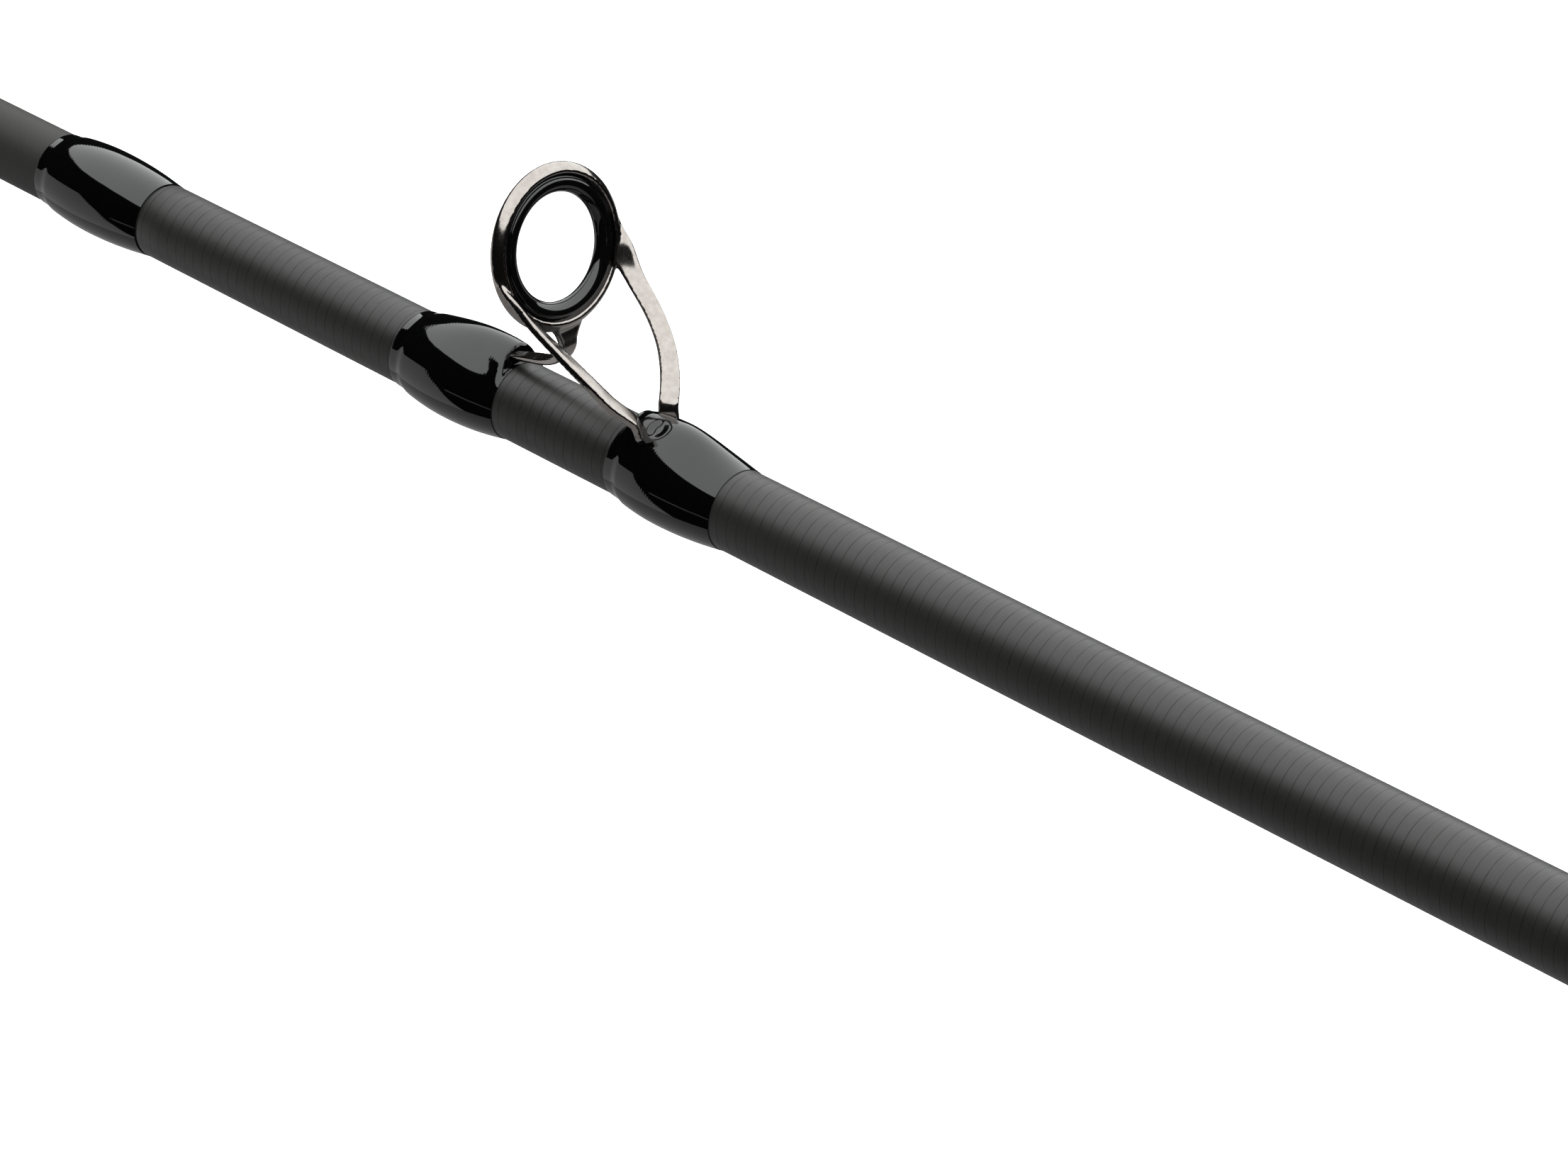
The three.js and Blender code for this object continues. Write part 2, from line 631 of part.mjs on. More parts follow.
function buildCovers() {
  const crown = 3;
  const left = [
    [LEFT_COVER_END, 0],
    [LEFT_COVER_END, PLATE.radius - 7],
    [LEFT_COVER_END + crown, PLATE.radius - 1.5],
    [LEFT_COVER_END + crown + 2, PLATE.radius],
    [-PLATE.outer - GAP, PLATE.radius],
    [-PLATE.outer - GAP, PLATE.radius - COVER_WALL],
    [LEFT_COVER_END + crown + 1, PLATE.radius - COVER_WALL - 1.5],
    [LEFT_COVER_END + COVER_WALL, PLATE.radius - 8],
    [LEFT_COVER_END + COVER_WALL, 6.4],
    [-21.2, 6.4],
    [-21.2, 4.8],
    [-25.2, 4.8],
    [-25.2, 0],
  ];
  add("left_side_cover", turnedY(left, FINE, CENTRE.x, CENTRE.z), FINISH.darkMetal);

  const end = RIGHT_COVER_END;
  const right = turnedY([
    [end, 0],
    [end, PLATE.radius - 8],
    [end - crown, PLATE.radius - 1.5],
    [end - crown - 2, PLATE.radius],
    [PLATE.outer + GAP, PLATE.radius],
    [PLATE.outer + GAP, PLATE.radius - COVER_WALL],
    [end - crown - 1, PLATE.radius - COVER_WALL - 1],
    [end - COVER_WALL, PLATE.radius - 9],
    [end - COVER_WALL, 0],
  ], FINE, CENTRE.x, CENTRE.z);
  const driveHole = pinY(end - 6, end + 2, DRIVE_SHAFT.bore + FIT, SMALL, DRIVE);
  const capHole = pinY(end - 6, end + 2, 3.4, SMALL, CENTRE);
  add("right_side_cover", cut(right, driveHole, capHole), FINISH.darkMetal);

  const bore = SPOOL.shaft + GAP;
  add("left_bearing", sleeveY(-24.8, -21.6, BEARING_RADIUS, bore, SMALL, CENTRE), FINISH.bright);
  add("right_bearing", sleeveY(27, 30, BEARING_RADIUS, bore, SMALL, CENTRE), FINISH.bright);
}

function buildSpool() {
  const s = SPOOL;
  const profile = tube([
    [-s.half, s.flange],
    [-s.inside - 0.4, s.flange],
    [-s.inside + 1.2, s.arbor],
    [s.inside - 1.2, s.arbor],
    [s.inside + 0.4, s.flange],
    [s.half, s.flange],
  ], s.shaft + GAP);
  add("spool", turnedY(profile, FINE, CENTRE.x, CENTRE.z), FINISH.bright);
  add("spool_shaft", pinY(-24.4, 21.6, s.shaft, 8, CENTRE), FINISH.bright);
  const stub = pinY(GEAR_FACE[1] - 0.5, 33.5, 1.3, 8, CENTRE);
  const pinion = gear(PINION_TEETH, CENTRE, 0, meshedTooth(PINION_TEETH, CENTRE));
  add("pinion_gear", joined(pinion, stub), FINISH.brass);
  const base = RIGHT_COVER_END + GAP;
  const cap = [
    [base, 2],
    [base, CAP_RADIUS],
    [base + 4.2, CAP_RADIUS],
    [base + 5.1, CAP_RADIUS - 1],
    [base + 5.1, 0],
    [base + 3.7, 0],
    [base + 3.7, 2],
    [base, 2],
  ];
  add("cast_control_cap", turnedY(cap, PLAIN, CENTRE.x, CENTRE.z), FINISH.bright);
}

function buildDrive() {
  const { bore } = DRIVE_SHAFT;
  add("drive_gear", gear(DRIVE_TEETH, DRIVE, bore, direction(DRIVE, CENTRE)), FINISH.brass);
  const shaft = pinY(DRIVE_SHAFT.start, DRIVE_SHAFT.end, DRIVE_SHAFT.radius, SMALL, DRIVE);
  add("drive_shaft", shaft, FINISH.bright);
  const washer = GEAR_FACE[1] + GAP;
  add("drag_washer", sleeveY(washer, washer + 1.3, 7.5, bore, SMALL, DRIVE), FINISH.plastic);
  const plate = washer + 1.3 + GAP;
  add("drag_plate", sleeveY(plate, plate + 1.3, 7.2, bore, SMALL, DRIVE), FINISH.bright);

  const hub = pinY(RIGHT_COVER_END + 0.6, STAR.low + 0.6, STAR.hub, SMALL, DRIVE);
  const hole = pinY(RIGHT_COVER_END - 1, STAR.high + 1, bore, SMALL, DRIVE);
  const star = slabY(starShape(), STAR.low, STAR.high);
  add("star_drag", cut(joined(star, hub), hole), FINISH.bright);

  const arm = slabY(crankShape(), CRANK.low, CRANK.high, 8);
  const pins = [-1, 1].map((side) => pinY(CRANK.high - 0.6, 70, 1.6, 8, crankEnd(side)));
  const shaftHole = pinY(CRANK.low - 1, CRANK.high + 1, bore, SMALL, DRIVE);
  add("crank_arm", cut(joined(arm, ...pins), shaftHole), FINISH.bright);
  const nut = turnedY([[49.9, 0], [49.9, 5], [53.6, 5], [55, 3.6], [55, 0]], 6, DRIVE.x, DRIVE.z);
  const thread = pinY(CRANK.high - 1, DRIVE_SHAFT.end + 0.4, bore, SMALL, DRIVE);
  add("crank_nut", cut(nut, thread), FINISH.bright);

  const knob = [
    [50.2, KNOB_BORE],
    [50.2, 5.4],
    [52, 6.2],
    [58, 5.2],
    [66, 7.2],
    [71, 6.6],
    [73, 4.2],
    [73, 0],
    [70.3, 0],
    [70.3, KNOB_BORE],
    [50.2, KNOB_BORE],
  ];
  const ends = { front: crankEnd(-1), rear: crankEnd(1) };
  Object.entries(ends).forEach(([name, at]) => {
    add(`${name}_crank_knob`, turnedY(knob, SMALL, at.x, at.z), FINISH.plastic);
  });
}

// A star with blunt arms, about the drive axis.
function starShape() {
  const points = [];
  for (let i = 0; i < STAR.arms * 2; i += 1) {
    const blunt = STAR.reach - 0.4;
    const spread = i % 2 === 0 ? [[blunt, -0.13], [STAR.reach, 0], [blunt, 0.13]] : [[STAR.root, 0]];
    spread.forEach(([r, turn]) => {
      const angle = (i * Math.PI) / STAR.arms + turn;
      points.push([DRIVE.x + r * Math.cos(angle), DRIVE.z + r * Math.sin(angle)]);
    });
  }
  return outline(points);
}

function crankEnd(side) {
  return {
    x: DRIVE.x + side * CRANK_REACH * Math.cos(CRANK_TURN),
    z: DRIVE.z + side * CRANK_REACH * Math.sin(CRANK_TURN),
  };
}

// The crank's flat outline: a wide middle, narrow arms and round ends, turned about the drive axis.
function crankShape() {
  const middle = [[-14, 3], [-7, 6], [0, 7], [7, 6], [14, 3]];
  const side = [
    [-CRANK_REACH, CRANK.end],
    [-CRANK_REACH + 3, CRANK.end - 0.6],
    ...middle,
    [CRANK_REACH - 3, CRANK.end - 0.6],
    [CRANK_REACH, CRANK.end],
  ];
  const round = [-Math.PI / 4, 0, Math.PI / 4];
  const right = round.map((a) => [CRANK_REACH + CRANK.end * Math.cos(a), -CRANK.end * Math.sin(a)]);
  const left = right.map(([x, z]) => [-x, -z]);
  const loop = [...side, ...right, ...side.map(([x, z]) => [x, -z]).reverse(), ...left];
  const cos = Math.cos(CRANK_TURN);
  const sin = Math.sin(CRANK_TURN);
  return outline(loop.map(([x, z]) => [DRIVE.x + x * cos - z * sin, DRIVE.z + x * sin + z * cos]));
}

function buildLevelWind() {
  const worm = [
    [-18.6, 0],
    [-18.6, 1.6],
    [-15.5, 2.5],
    [15.5, 2.5],
    [18, 1.6],
    [21.6, 1.6],
    [21.6, 0],
  ];
  add("worm_shaft", turnedY(worm, 8, WORM.x, WORM.z), FINISH.bright);
  add("worm_gear", gear(WORM_TEETH, WORM, 0, meshedTooth(WORM_TEETH, WORM)), FINISH.plastic);
  add("level_wind_bar", pinY(-18.8, 18.8, GUIDE_BAR_BORE - GAP, 8, GUIDE_BAR), FINISH.bright);

  const block = joined(
    pinY(-4, 4, 3.6, SMALL, WORM),
    pinY(-4, 4, 3, SMALL, GUIDE_BAR),
    slabY(outline([
      [WORM.x - 3.6, WORM.z],
      [WORM.x + 2.4, WORM.z + 1],
      [GUIDE_BAR.x + 2.6, GUIDE_BAR.z],
      [GUIDE_BAR.x - 2.8, GUIDE_BAR.z],
    ]), -3.4, 3.4),
  );
  const eyePlace = new THREE.Matrix4().makeTranslation(GUIDE_BAR.x, 0, GUIDE_BAR.z + LINE_EYE.rise);
  const eye = turnedX(tube([[-2, LINE_EYE.radius], [2, LINE_EYE.radius]], LINE_EYE.bore), COARSE, eyePlace);
  const holes = [pinY(-6, 6, WORM_BORE, SMALL, WORM), pinY(-6, 6, GUIDE_BAR_BORE, 8, GUIDE_BAR)];
  add("line_guide", cut(joined(block, eye), ...holes), FINISH.bright);

  const reach = PLATE.inner - GAP;
  const thumb = outline([
    [CENTRE.x + 18.8, CENTRE.z + 3.2],
    [CENTRE.x + 18.6, CENTRE.z + 6],
    [CENTRE.x + 21.5, CENTRE.z + 7.2],
    [CENTRE.x + 25.2, CENTRE.z + 5.2],
    [CENTRE.x + 25.6, CENTRE.z + 2.6],
  ]);
  add("thumb_bar", slabY(thumb, -reach, reach), FINISH.plastic);
}

buildBlank();
add("ferrule_wrap", wrapSolid(JOINT_STATION + GAP, JOINT_STATION + 21.3, 1), FINISH.epoxy);
GUIDES.forEach((guide, i) => buildGuide(guide, i + 1));
buildTipTop();
buildHandle();
buildSeat();
buildKeeper();
buildReelFrame();
buildCovers();
buildSpool();
buildDrive();
buildLevelWind();

export default rod;
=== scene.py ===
import math

import bmesh
import bpy
from mathutils import Matrix, Vector


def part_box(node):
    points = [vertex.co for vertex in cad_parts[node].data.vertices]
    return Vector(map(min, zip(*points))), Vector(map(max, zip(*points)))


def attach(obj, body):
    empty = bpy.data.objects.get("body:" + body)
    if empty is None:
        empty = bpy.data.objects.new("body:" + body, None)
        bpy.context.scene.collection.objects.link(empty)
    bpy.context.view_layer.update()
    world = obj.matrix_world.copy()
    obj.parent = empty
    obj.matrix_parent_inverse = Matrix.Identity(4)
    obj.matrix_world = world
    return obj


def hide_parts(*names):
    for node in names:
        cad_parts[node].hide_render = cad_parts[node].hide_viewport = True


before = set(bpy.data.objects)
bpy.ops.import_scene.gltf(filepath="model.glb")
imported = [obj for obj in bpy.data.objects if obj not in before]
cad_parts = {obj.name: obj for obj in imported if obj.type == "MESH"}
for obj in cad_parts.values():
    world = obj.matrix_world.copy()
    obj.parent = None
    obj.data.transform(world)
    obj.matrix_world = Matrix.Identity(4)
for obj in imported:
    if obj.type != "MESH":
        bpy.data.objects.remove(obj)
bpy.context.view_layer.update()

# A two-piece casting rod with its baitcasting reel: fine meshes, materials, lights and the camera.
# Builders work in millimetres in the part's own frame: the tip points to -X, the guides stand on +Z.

MM = 0.001
LEAN = math.radians(13)  # each ring leans towards the tip at its top
SEAT_GAP = 0.3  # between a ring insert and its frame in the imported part
LARGEST_SEAT = 20  # across the largest guide frame where its ring sits
HELIX_PITCH = 1.77  # the tape that cured the blank left one ridge a turn
THREAD = 0.42  # from one turn of wrapping thread to the next
ALONG_X = Matrix.Identity(4)
ALONG_Y = Matrix.Rotation(math.pi / 2, 4, "Z")
UPRIGHT = Matrix.Rotation(math.pi / 2, 4, "X")
TO_MINUS_Y = ALONG_Y @ Matrix.Rotation(math.pi, 4, "Z")

# ---- places read from the frame ----


def box(node):
    low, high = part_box(node)
    return low / MM, high / MM


def middle(node):
    low, high = box(node)
    return (low + high) / 2


def rings_of(node):
    """(x, outer radius) of a turned CAD node at its outside stations along the rod's axis."""
    reach = {}
    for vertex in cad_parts[node].data.vertices:
        x = round(vertex.co.x / MM, 1)
        reach[x] = max(reach.get(x, 0), math.hypot(vertex.co.y, vertex.co.z) / MM)
    rings = sorted(reach.items())
    hull = []
    for x, r in rings:
        while len(hull) > 1 and slope(hull[-1], (x, r)) > slope(hull[-2], hull[-1]):
            hull.pop()
        hull.append((x, r))
    return [(x, r) for x, r in rings if r > 0.9 * along(hull, x)]


def slope(first, second):
    return (second[1] - first[1]) / (second[0] - first[0])


def along(rings, x):
    """The radius at x on a line through (x, radius) points."""
    for (x0, r0), (x1, r1) in zip(rings, rings[1:]):
        if x <= x1:
            return r0 + (r1 - r0) * min(1, max(0, (x - x0) / (x1 - x0)))
    return rings[-1][1]


BUTT_RINGS = rings_of("butt_blank")
TIP_RINGS = rings_of("tip_blank")
JOINT_X = TIP_RINGS[-1][0]
JOINT_GAP = 0.3  # from the tip section's mouth to the butt section's shoulder
SOCKET = 66  # depth of the tip section's socket
BLANK_STEP = 5  # between the points of a blank's outline


def blank_radius(x):
    return along(TIP_RINGS if x <= JOINT_X else BUTT_RINGS, x)


# ---- mesh helpers ----


def smoothstep(value):
    value = min(1, max(0, value))
    return value * value * (3 - 2 * value)


def rounded(corners, closed=True, steps=4):
    """The outline through these corners, each (u, v) or (u, v, size of its round)."""
    points = []
    last = len(corners) - 1
    for i, corner in enumerate(corners):
        here = Vector(corner[:2])
        if len(corner) < 3 or not (closed or 0 < i < last):
            points.append(here)
            continue
        before = Vector(corners[i - 1][:2]) - here
        after = Vector(corners[(i + 1) % len(corners)][:2]) - here
        start = here + before.normalized() * min(corner[2], 0.48 * before.length)
        end = here + after.normalized() * min(corner[2], 0.48 * after.length)
        for k in range(steps + 1):
            t = k / steps
            points.append(start.lerp(here, t).lerp(here.lerp(end, t), t))
    return points


def past(start, *corners):
    """Corners whose first number is measured from start."""
    return [(start + u, *rest) for u, *rest in corners]


def mirrored(half):
    """All the corners of an outline from those on its negative side."""
    return [*half, *[(-u, *rest) for u, *rest in reversed(half)]]


def curve(points, steps):
    """A smooth curve through points of any dimension, with this many steps between two of them."""
    points = [Vector(p) for p in points]
    ends = [2 * points[0] - points[1], *points, 2 * points[-1] - points[-2]]
    made = []
    for a, b, c, d in zip(ends, ends[1:], ends[2:], ends[3:]):
        for k in range(steps):
            t = k / steps
            made.append((2 * b + (c - a) * t + (2 * a - 5 * b + 4 * c - d) * t * t
                         + (3 * b - a - 3 * c + d) * t ** 3) / 2)
    return [*made, points[-1]]


def mesh_of(vertices, faces):
    """A bmesh, in millimetres, with its faces turned outwards."""
    made = bmesh.new()
    points = [made.verts.new(v) for v in vertices]
    for face in faces:
        made.faces.new([points[i] for i in face])
    bmesh.ops.recalc_face_normals(made, faces=made.faces)
    return made


def quads(rows, size, closed=False):
    """The faces between rows of this many points, where each row closes on itself."""
    faces = []
    for i in range(rows if closed else rows - 1):
        j = (i + 1) % rows
        for k in range(size):
            m = (k + 1) % size
            faces.append([i * size + k, i * size + m, j * size + m, j * size + k])
    return faces


def turned(profile, segments, place=ALONG_X, relief=None):
    """A body turned about its own X axis from (x, radius) points. The profile closes on itself,
    or starts and ends on the axis. relief(x, radius, angle) gives a new radius."""
    vertices, rows, faces = [], [], []
    for x, radius in profile:
        count = 1 if radius < 1e-6 else segments
        rows.append(range(len(vertices), len(vertices) + count))
        for k in range(count):
            angle = 2 * math.pi * k / segments
            reach = relief(x, radius, angle) if relief else radius
            vertices.append(place @ Vector((x, reach * math.sin(angle), reach * math.cos(angle))))
    pairs = list(zip(rows, rows[1:]))
    if len(rows[0]) > 1:
        pairs.append((rows[-1], rows[0]))
    for first, second in pairs:
        for k in range(segments):
            a, b = first[k % len(first)], first[(k + 1) % len(first)]
            c, d = second[(k + 1) % len(second)], second[k % len(second)]
            corners = list(dict.fromkeys((a, b, c, d)))
            if len(corners) > 2:
                faces.append(corners)
    return mesh_of(vertices, faces)


def swept(path, section, facing):
    """A section swept along (x, y, z, width, thickness) points, closed at both ends. facing lists the
    directions that its thickness points to, and the last one holds for the rest of the path."""
    places = [Vector(p[:3]) for p in path]
    vertices, size = [], len(section)
    for i, here in enumerate(places):
        before = places[i - 1] if i else here
        after = places[i + 1] if i < len(places) - 1 else here
        heading = (after - before).normalized()
        out = Vector(facing[min(i, len(facing) - 1)])
        side = heading.cross(out).normalized()
        out = side.cross(heading)
        for u, v in section:
            vertices.append(here + side * (u * path[i][3]) + out * (v * path[i][4]))
    ends = [range(size), range(len(vertices) - size, len(vertices))]
    return mesh_of(vertices, [*quads(len(places), size), *ends])


def merged(*parts):
    """Several bmeshes in one."""
    first = parts[0]
    for part in parts[1:]:
        mesh = bpy.data.meshes.new("part")
        part.to_mesh(mesh)
        first.from_mesh(mesh)
        bpy.data.meshes.remove(mesh)
        part.free()
    return first


def slab(outline, low, high, bevel):
    """An outline in (x, z) with rounded rims, extruded along Y between two values."""
    outline = [Vector(p) for p in outline]
    count = len(outline)
    grow = [(-high, -bevel), (-high + 0.3 * bevel, -0.3 * bevel), (-high + bevel, 0),
            (-low - bevel, 0), (-low - 0.3 * bevel, -0.3 * bevel), (-low, -bevel)]
    area = sum(a.cross(b) for a, b in zip(outline, [*outline[1:], outline[0]]))
    sign = 1 if area > 0 else -1
    vertices = []
    for height, inset in grow:
        for i, here in enumerate(outline):
            edge = (outline[(i + 1) % count] - outline[i - 1]).normalized()
            out = Vector((edge.y, -edge.x)) * sign
            spot = here + out * inset
            vertices.append(Vector((spot.x, spot.y, height)))
    made = mesh_of(vertices, quads(len(grow), count))
    made.verts.ensure_lookup_table()
    top = (len(grow) - 1) * count
    made.faces.new([made.verts[i] for i in range(count)])
    made.faces.new([made.verts[i] for i in range(top, top + count)])
    bmesh.ops.recalc_face_normals(made, faces=made.faces)
    made.transform(UPRIGHT)
    return made


def dense(profile, step):
    """The profile with points added so that no two are further apart than step."""
    made = [Vector(profile[0])]
    for point in profile[1:]:
        start, end = made[-1], Vector(point)
        count = max(1, math.ceil((end - start).length / step))
        made += [start.lerp(end, k / count) for k in range(1, count + 1)]
    return made


def about_y(node):
    """The matrix that turns a local X axis into the node's own axis, which is parallel to Y."""
    centre = middle(node)
    return Matrix.Translation((centre.x, 0, centre.z)) @ ALONG_Y


def baked(obj):
    """Replaces an object's mesh by the result of its modifiers."""
    bpy.context.view_layer.update()
    graph = bpy.context.evaluated_depsgraph_get()
    made = bpy.data.meshes.new_from_object(obj.evaluated_get(graph))
    old = obj.data
    obj.modifiers.clear()
    obj.data = made
    bpy.data.meshes.remove(old)
    return obj


def object_of(name, part):
    """A new object from a bmesh in metres."""
    mesh = bpy.data.meshes.new(name)
    part.to_mesh(mesh)
    part.free()
    made = bpy.data.objects.new(name, mesh)
    bpy.context.scene.collection.objects.link(made)
    return made


def loose(name, part):
    """A new object from a bmesh in millimetres."""
    part.transform(Matrix.Scale(MM, 4))
    return object_of(name, part)


def cut_box(target, x0, x1, z0, z1, half, bevel):
    """Cuts a box out of target. It reaches half to each side along Y."""
    outline = [(x0, z0), (x1, z0), (x1, z1), (x0, z1)]
    combine(target, slab(outline, -half, half, bevel), "DIFFERENCE")


def combine(target, part, operation):
    """target joined with, or cut by, a part."""
    other = loose("part", part)
    change = target.modifiers.new(operation, "BOOLEAN")
    change.operation = operation
    change.object = other
    change.solver = "EXACT"
    baked(target)
    bpy.data.objects.remove(other)


def beside(target, part):
    """Adds a part's shells to an object's."""
    other = loose("part", part)
    both = bmesh.new()
    for obj in (target, other):
        both.from_mesh(obj.data)
    both.to_mesh(target.data)
    both.free()
    bpy.data.objects.remove(other)


def melted(obj, voxel, passes):
    """One skin over all of an object's shells, with soft fillets where they meet."""
    skin = obj.modifiers.new("skin", "REMESH")
    skin.mode = "VOXEL"
    skin.voxel_size = voxel * MM
    soften = obj.modifiers.new("soften", "SMOOTH")
    soften.factor = 0.5
    soften.iterations = passes
    return baked(obj)


def piece(node, made, body, look, sharp=40):
    """Finishes the piece that stands for a node: smooth shading, its material and the body it rides on."""
    if isinstance(made, bmesh.types.BMesh):
        made = loose(node + "_fine", made)
    made.data.materials.clear()
    made.data.materials.append(look)
    made.data.shade_smooth()
    if sharp:
        made.data.set_sharp_from_angle(angle=math.radians(sharp))
    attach(made, body)
    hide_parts(node)
    return made


def dressed(node, look, bevel=0.15):
    """A CAD node whose shape is right: it keeps its mesh and gets a material and eased edges."""
    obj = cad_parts[node]
    obj.data.materials.clear()
    obj.data.materials.append(look)
    ease = obj.modifiers.new("eased", "BEVEL")
    ease.width = bevel * MM
    ease.segments = 2
    ease.limit_method = "ANGLE"


# ---- material helpers ----


class Look:
    """A node tree with a Principled shader, built a node at a time."""

    def __init__(self, name, **shader):
        self.material = bpy.data.materials.new(name)
        self.material.use_nodes = True
        self.tree = self.material.node_tree
        self.shader = self.tree.nodes["Principled BSDF"]
        for key, value in shader.items():
            self.shader.inputs[key.replace("_", " ")].default_value = value
        self.place = self.node("TexCoord").outputs["Object"]

    def node(self, kind, inputs=None, **settings):
        """A new node whose inputs are set to values or linked to sockets."""
        made = self.tree.nodes.new("ShaderNode" + kind)
        for key, value in settings.items():
            setattr(made, key, value)
        for key, value in (inputs or {}).items():
            if isinstance(value, bpy.types.NodeSocket):
                self.tree.links.new(value, made.inputs[key])
            else:
                made.inputs[key].default_value = value
        return made

    def math(self, operation, first, second=0.0):
        return self.node("Math", {0: first, 1: second}, operation=operation).outputs[0]

    def noise(self, size, detail=4.0, stretch=(1, 1, 1)):
        """Noise from 0 to 1 whose features are about size millimetres across."""
        spread = self.node("Mapping", {"Vector": self.place, "Scale": stretch})
        settings = {"Vector": spread.outputs[0], "Scale": 1 / (size * MM), "Detail": detail}
        return self.node("TexNoise", settings).outputs["Fac"]

    def ramp(self, value, *stops):
        """A colour ramp. Each stop is its place and its level, a grey or a colour."""
        made = self.node("ValToRGB", {"Fac": value})
        while len(made.color_ramp.elements) < len(stops):
            made.color_ramp.elements.new(0.5)
        for element, (place, level) in zip(made.color_ramp.elements, stops):
            element.position = place
            element.color = (*level, 1) if isinstance(level, tuple) else (level, level, level, 1)
        return made.outputs["Color"]

    def times(self, first, second):
        """Two colours multiplied."""
        inputs = {"Fac": 1.0, "Color1": first, "Color2": second}
        return self.node("MixRGB", inputs, blend_type="MULTIPLY").outputs[0]

    def use(self, **sockets):
        """Links the shader's inputs."""
        for key, value in sockets.items():
            self.tree.links.new(value, self.shader.inputs[key.replace("_", " ")])

    def bump(self, height, depth, under=None):
        """Adds relief of about depth millimetres."""
        made = self.node("Bump", {"Height": height, "Distance": depth * MM, "Strength": 1.0})
        if under:
            self.tree.links.new(under, made.inputs["Normal"])
        return made.outputs["Normal"]


def rgb(red, green, blue):
    return (red, green, blue, 1)


def graphite_look():
    """Unsanded carbon: satin and finely grained, with one thin ridge a turn whose colour is darkened as
    painted shade.
    """
    look = Look("graphite", IOR=1.5)
    x, y, z = look.node("SeparateXYZ", {"Vector": look.place}).outputs
    turn = look.math("MULTIPLY", look.math("ARCTAN2", y, z), 1 / (2 * math.pi))
    advance = look.math("MULTIPLY", x, 1 / (HELIX_PITCH * MM))
    wander = look.math("MULTIPLY", look.noise(14, 1.0), 0.12)
    phase = look.math("FRACT", look.math("ADD", look.math("ADD", turn, advance), wander))
    ridge = look.ramp(phase, (0.0, 0.0), (0.44, 0.0), (0.5, 1.0), (0.56, 0.0))
    strength = look.ramp(look.noise(3, 3.0), (0.3, 0.5), (0.7, 1.0))
    height = look.math("MULTIPLY", ridge, strength)
    grain = look.noise(0.25, 3.0, (1, 0.15, 0.15))
    tone = look.ramp(look.noise(0.12, 2.0), (0.3, (0.0082, 0.008, 0.0072)), (0.7, (0.0118, 0.0115, 0.0104)))
    # painted shade: the colour darkens to 0.4 of its tone along each ridge's groove, and the specular level
    # drops there
    colour = look.times(tone, look.ramp(height, (0.0, 1.0), (1.0, 0.4)))
    look.use(Base_Color=colour, Specular_IOR_Level=look.ramp(height, (0.0, 0.5), (1.0, 0.18)))
    look.use(Roughness=look.ramp(grain, (0.3, 0.41), (0.7, 0.49)))
    look.use(Normal=look.bump(look.math("MULTIPLY", height, -1.0), 0.012, look.bump(grain, 0.0015)))
    return look.material


def satin_graphite_look():
    """Sanded and matt-coated carbon on the tip section."""
    look = Look("satin_graphite", Roughness=0.48, IOR=1.5, Specular_IOR_Level=0.2)
    grain = look.noise(0.15, 3.0)
    look.use(Base_Color=look.ramp(grain, (0.3, (0.022, 0.022, 0.021)), (0.7, (0.03, 0.03, 0.028))))
    look.use(Normal=look.bump(grain, 0.0015))
    return look.material


def epoxy_look():
    """Black thread under clear epoxy: a mirror-like coat, faintly ribbed by the thread in patches."""
    look = Look("epoxy", Roughness=0.035, IOR=1.5)
    x = look.node("SeparateXYZ", {"Vector": look.place}).outputs["X"]
    turns = look.math("SINE", look.math("MULTIPLY", x, 2 * math.pi / (THREAD * MM)))
    patch = look.ramp(look.noise(2.5, 3.0), (0.4, 0.0), (0.65, 1.0))
    threads = look.math("MULTIPLY", turns, patch)
    swell = look.noise(6, 1.0)
    tone = look.ramp(look.noise(0.4), (0.3, (0.0006, 0.0006, 0.0007)), (0.8, (0.0015, 0.0015, 0.0017)))
    look.use(Base_Color=tone)
    look.use(Normal=look.bump(threads, 0.0006, look.bump(swell, 0.05)))
    return look.material


def guide_metal_look():
    """Polished gunmetal sheet, a little uneven as bent sheet is."""
    look = Look("guide_metal", Metallic=1.0)
    stain = look.noise(0.8, 5.0)
    look.use(Base_Color=look.ramp(stain, (0.3, (0.245, 0.222, 0.208)), (0.75, (0.305, 0.284, 0.268))))
    look.use(Roughness=look.ramp(look.noise(0.3, 4.0), (0.3, 0.12), (0.7, 0.17)))
    look.use(Normal=look.bump(look.noise(3.5, 1.0), 0.03))
    return look.material


def ceramic_look():
    """Polished black ceramic."""
    look = Look("ceramic", IOR=1.55)
    tone = look.ramp(look.noise(0.5), (0.3, (0.001, 0.001, 0.0012)), (0.8, (0.003, 0.003, 0.0034)))
    look.use(Base_Color=tone)
    look.use(Roughness=look.ramp(look.noise(0.6), (0.3, 0.04), (0.8, 0.09)))
    return look.material


def foam_look():
    """Closed-cell foam, ground to shape: very rough, with fine open cells and a few larger ones, the cells
    darkened in colour as painted shade.
    """
    look = Look("foam", IOR=1.45)
    cells = look.node("TexVoronoi", {"Vector": look.place, "Scale": 1 / (0.45 * MM)}).outputs["Distance"]
    pores = look.ramp(cells, (0.0, 0.0), (0.45, 1.0))
    tone = look.ramp(look.noise(1.4, 5.0), (0.3, (0.016, 0.016, 0.017)), (0.72, (0.030, 0.030, 0.031)))
    # painted shade: the colour darkens to 0.55 of its tone in each pore
    look.use(Base_Color=look.times(tone, look.ramp(pores, (0.0, 0.55), (0.6, 1.0))))
    look.use(Roughness=look.ramp(look.noise(5), (0.3, 0.82), (0.7, 0.95)))
    look.use(Normal=look.bump(pores, 0.06, look.bump(look.noise(7, 2.0), 0.12)))
    return look.material


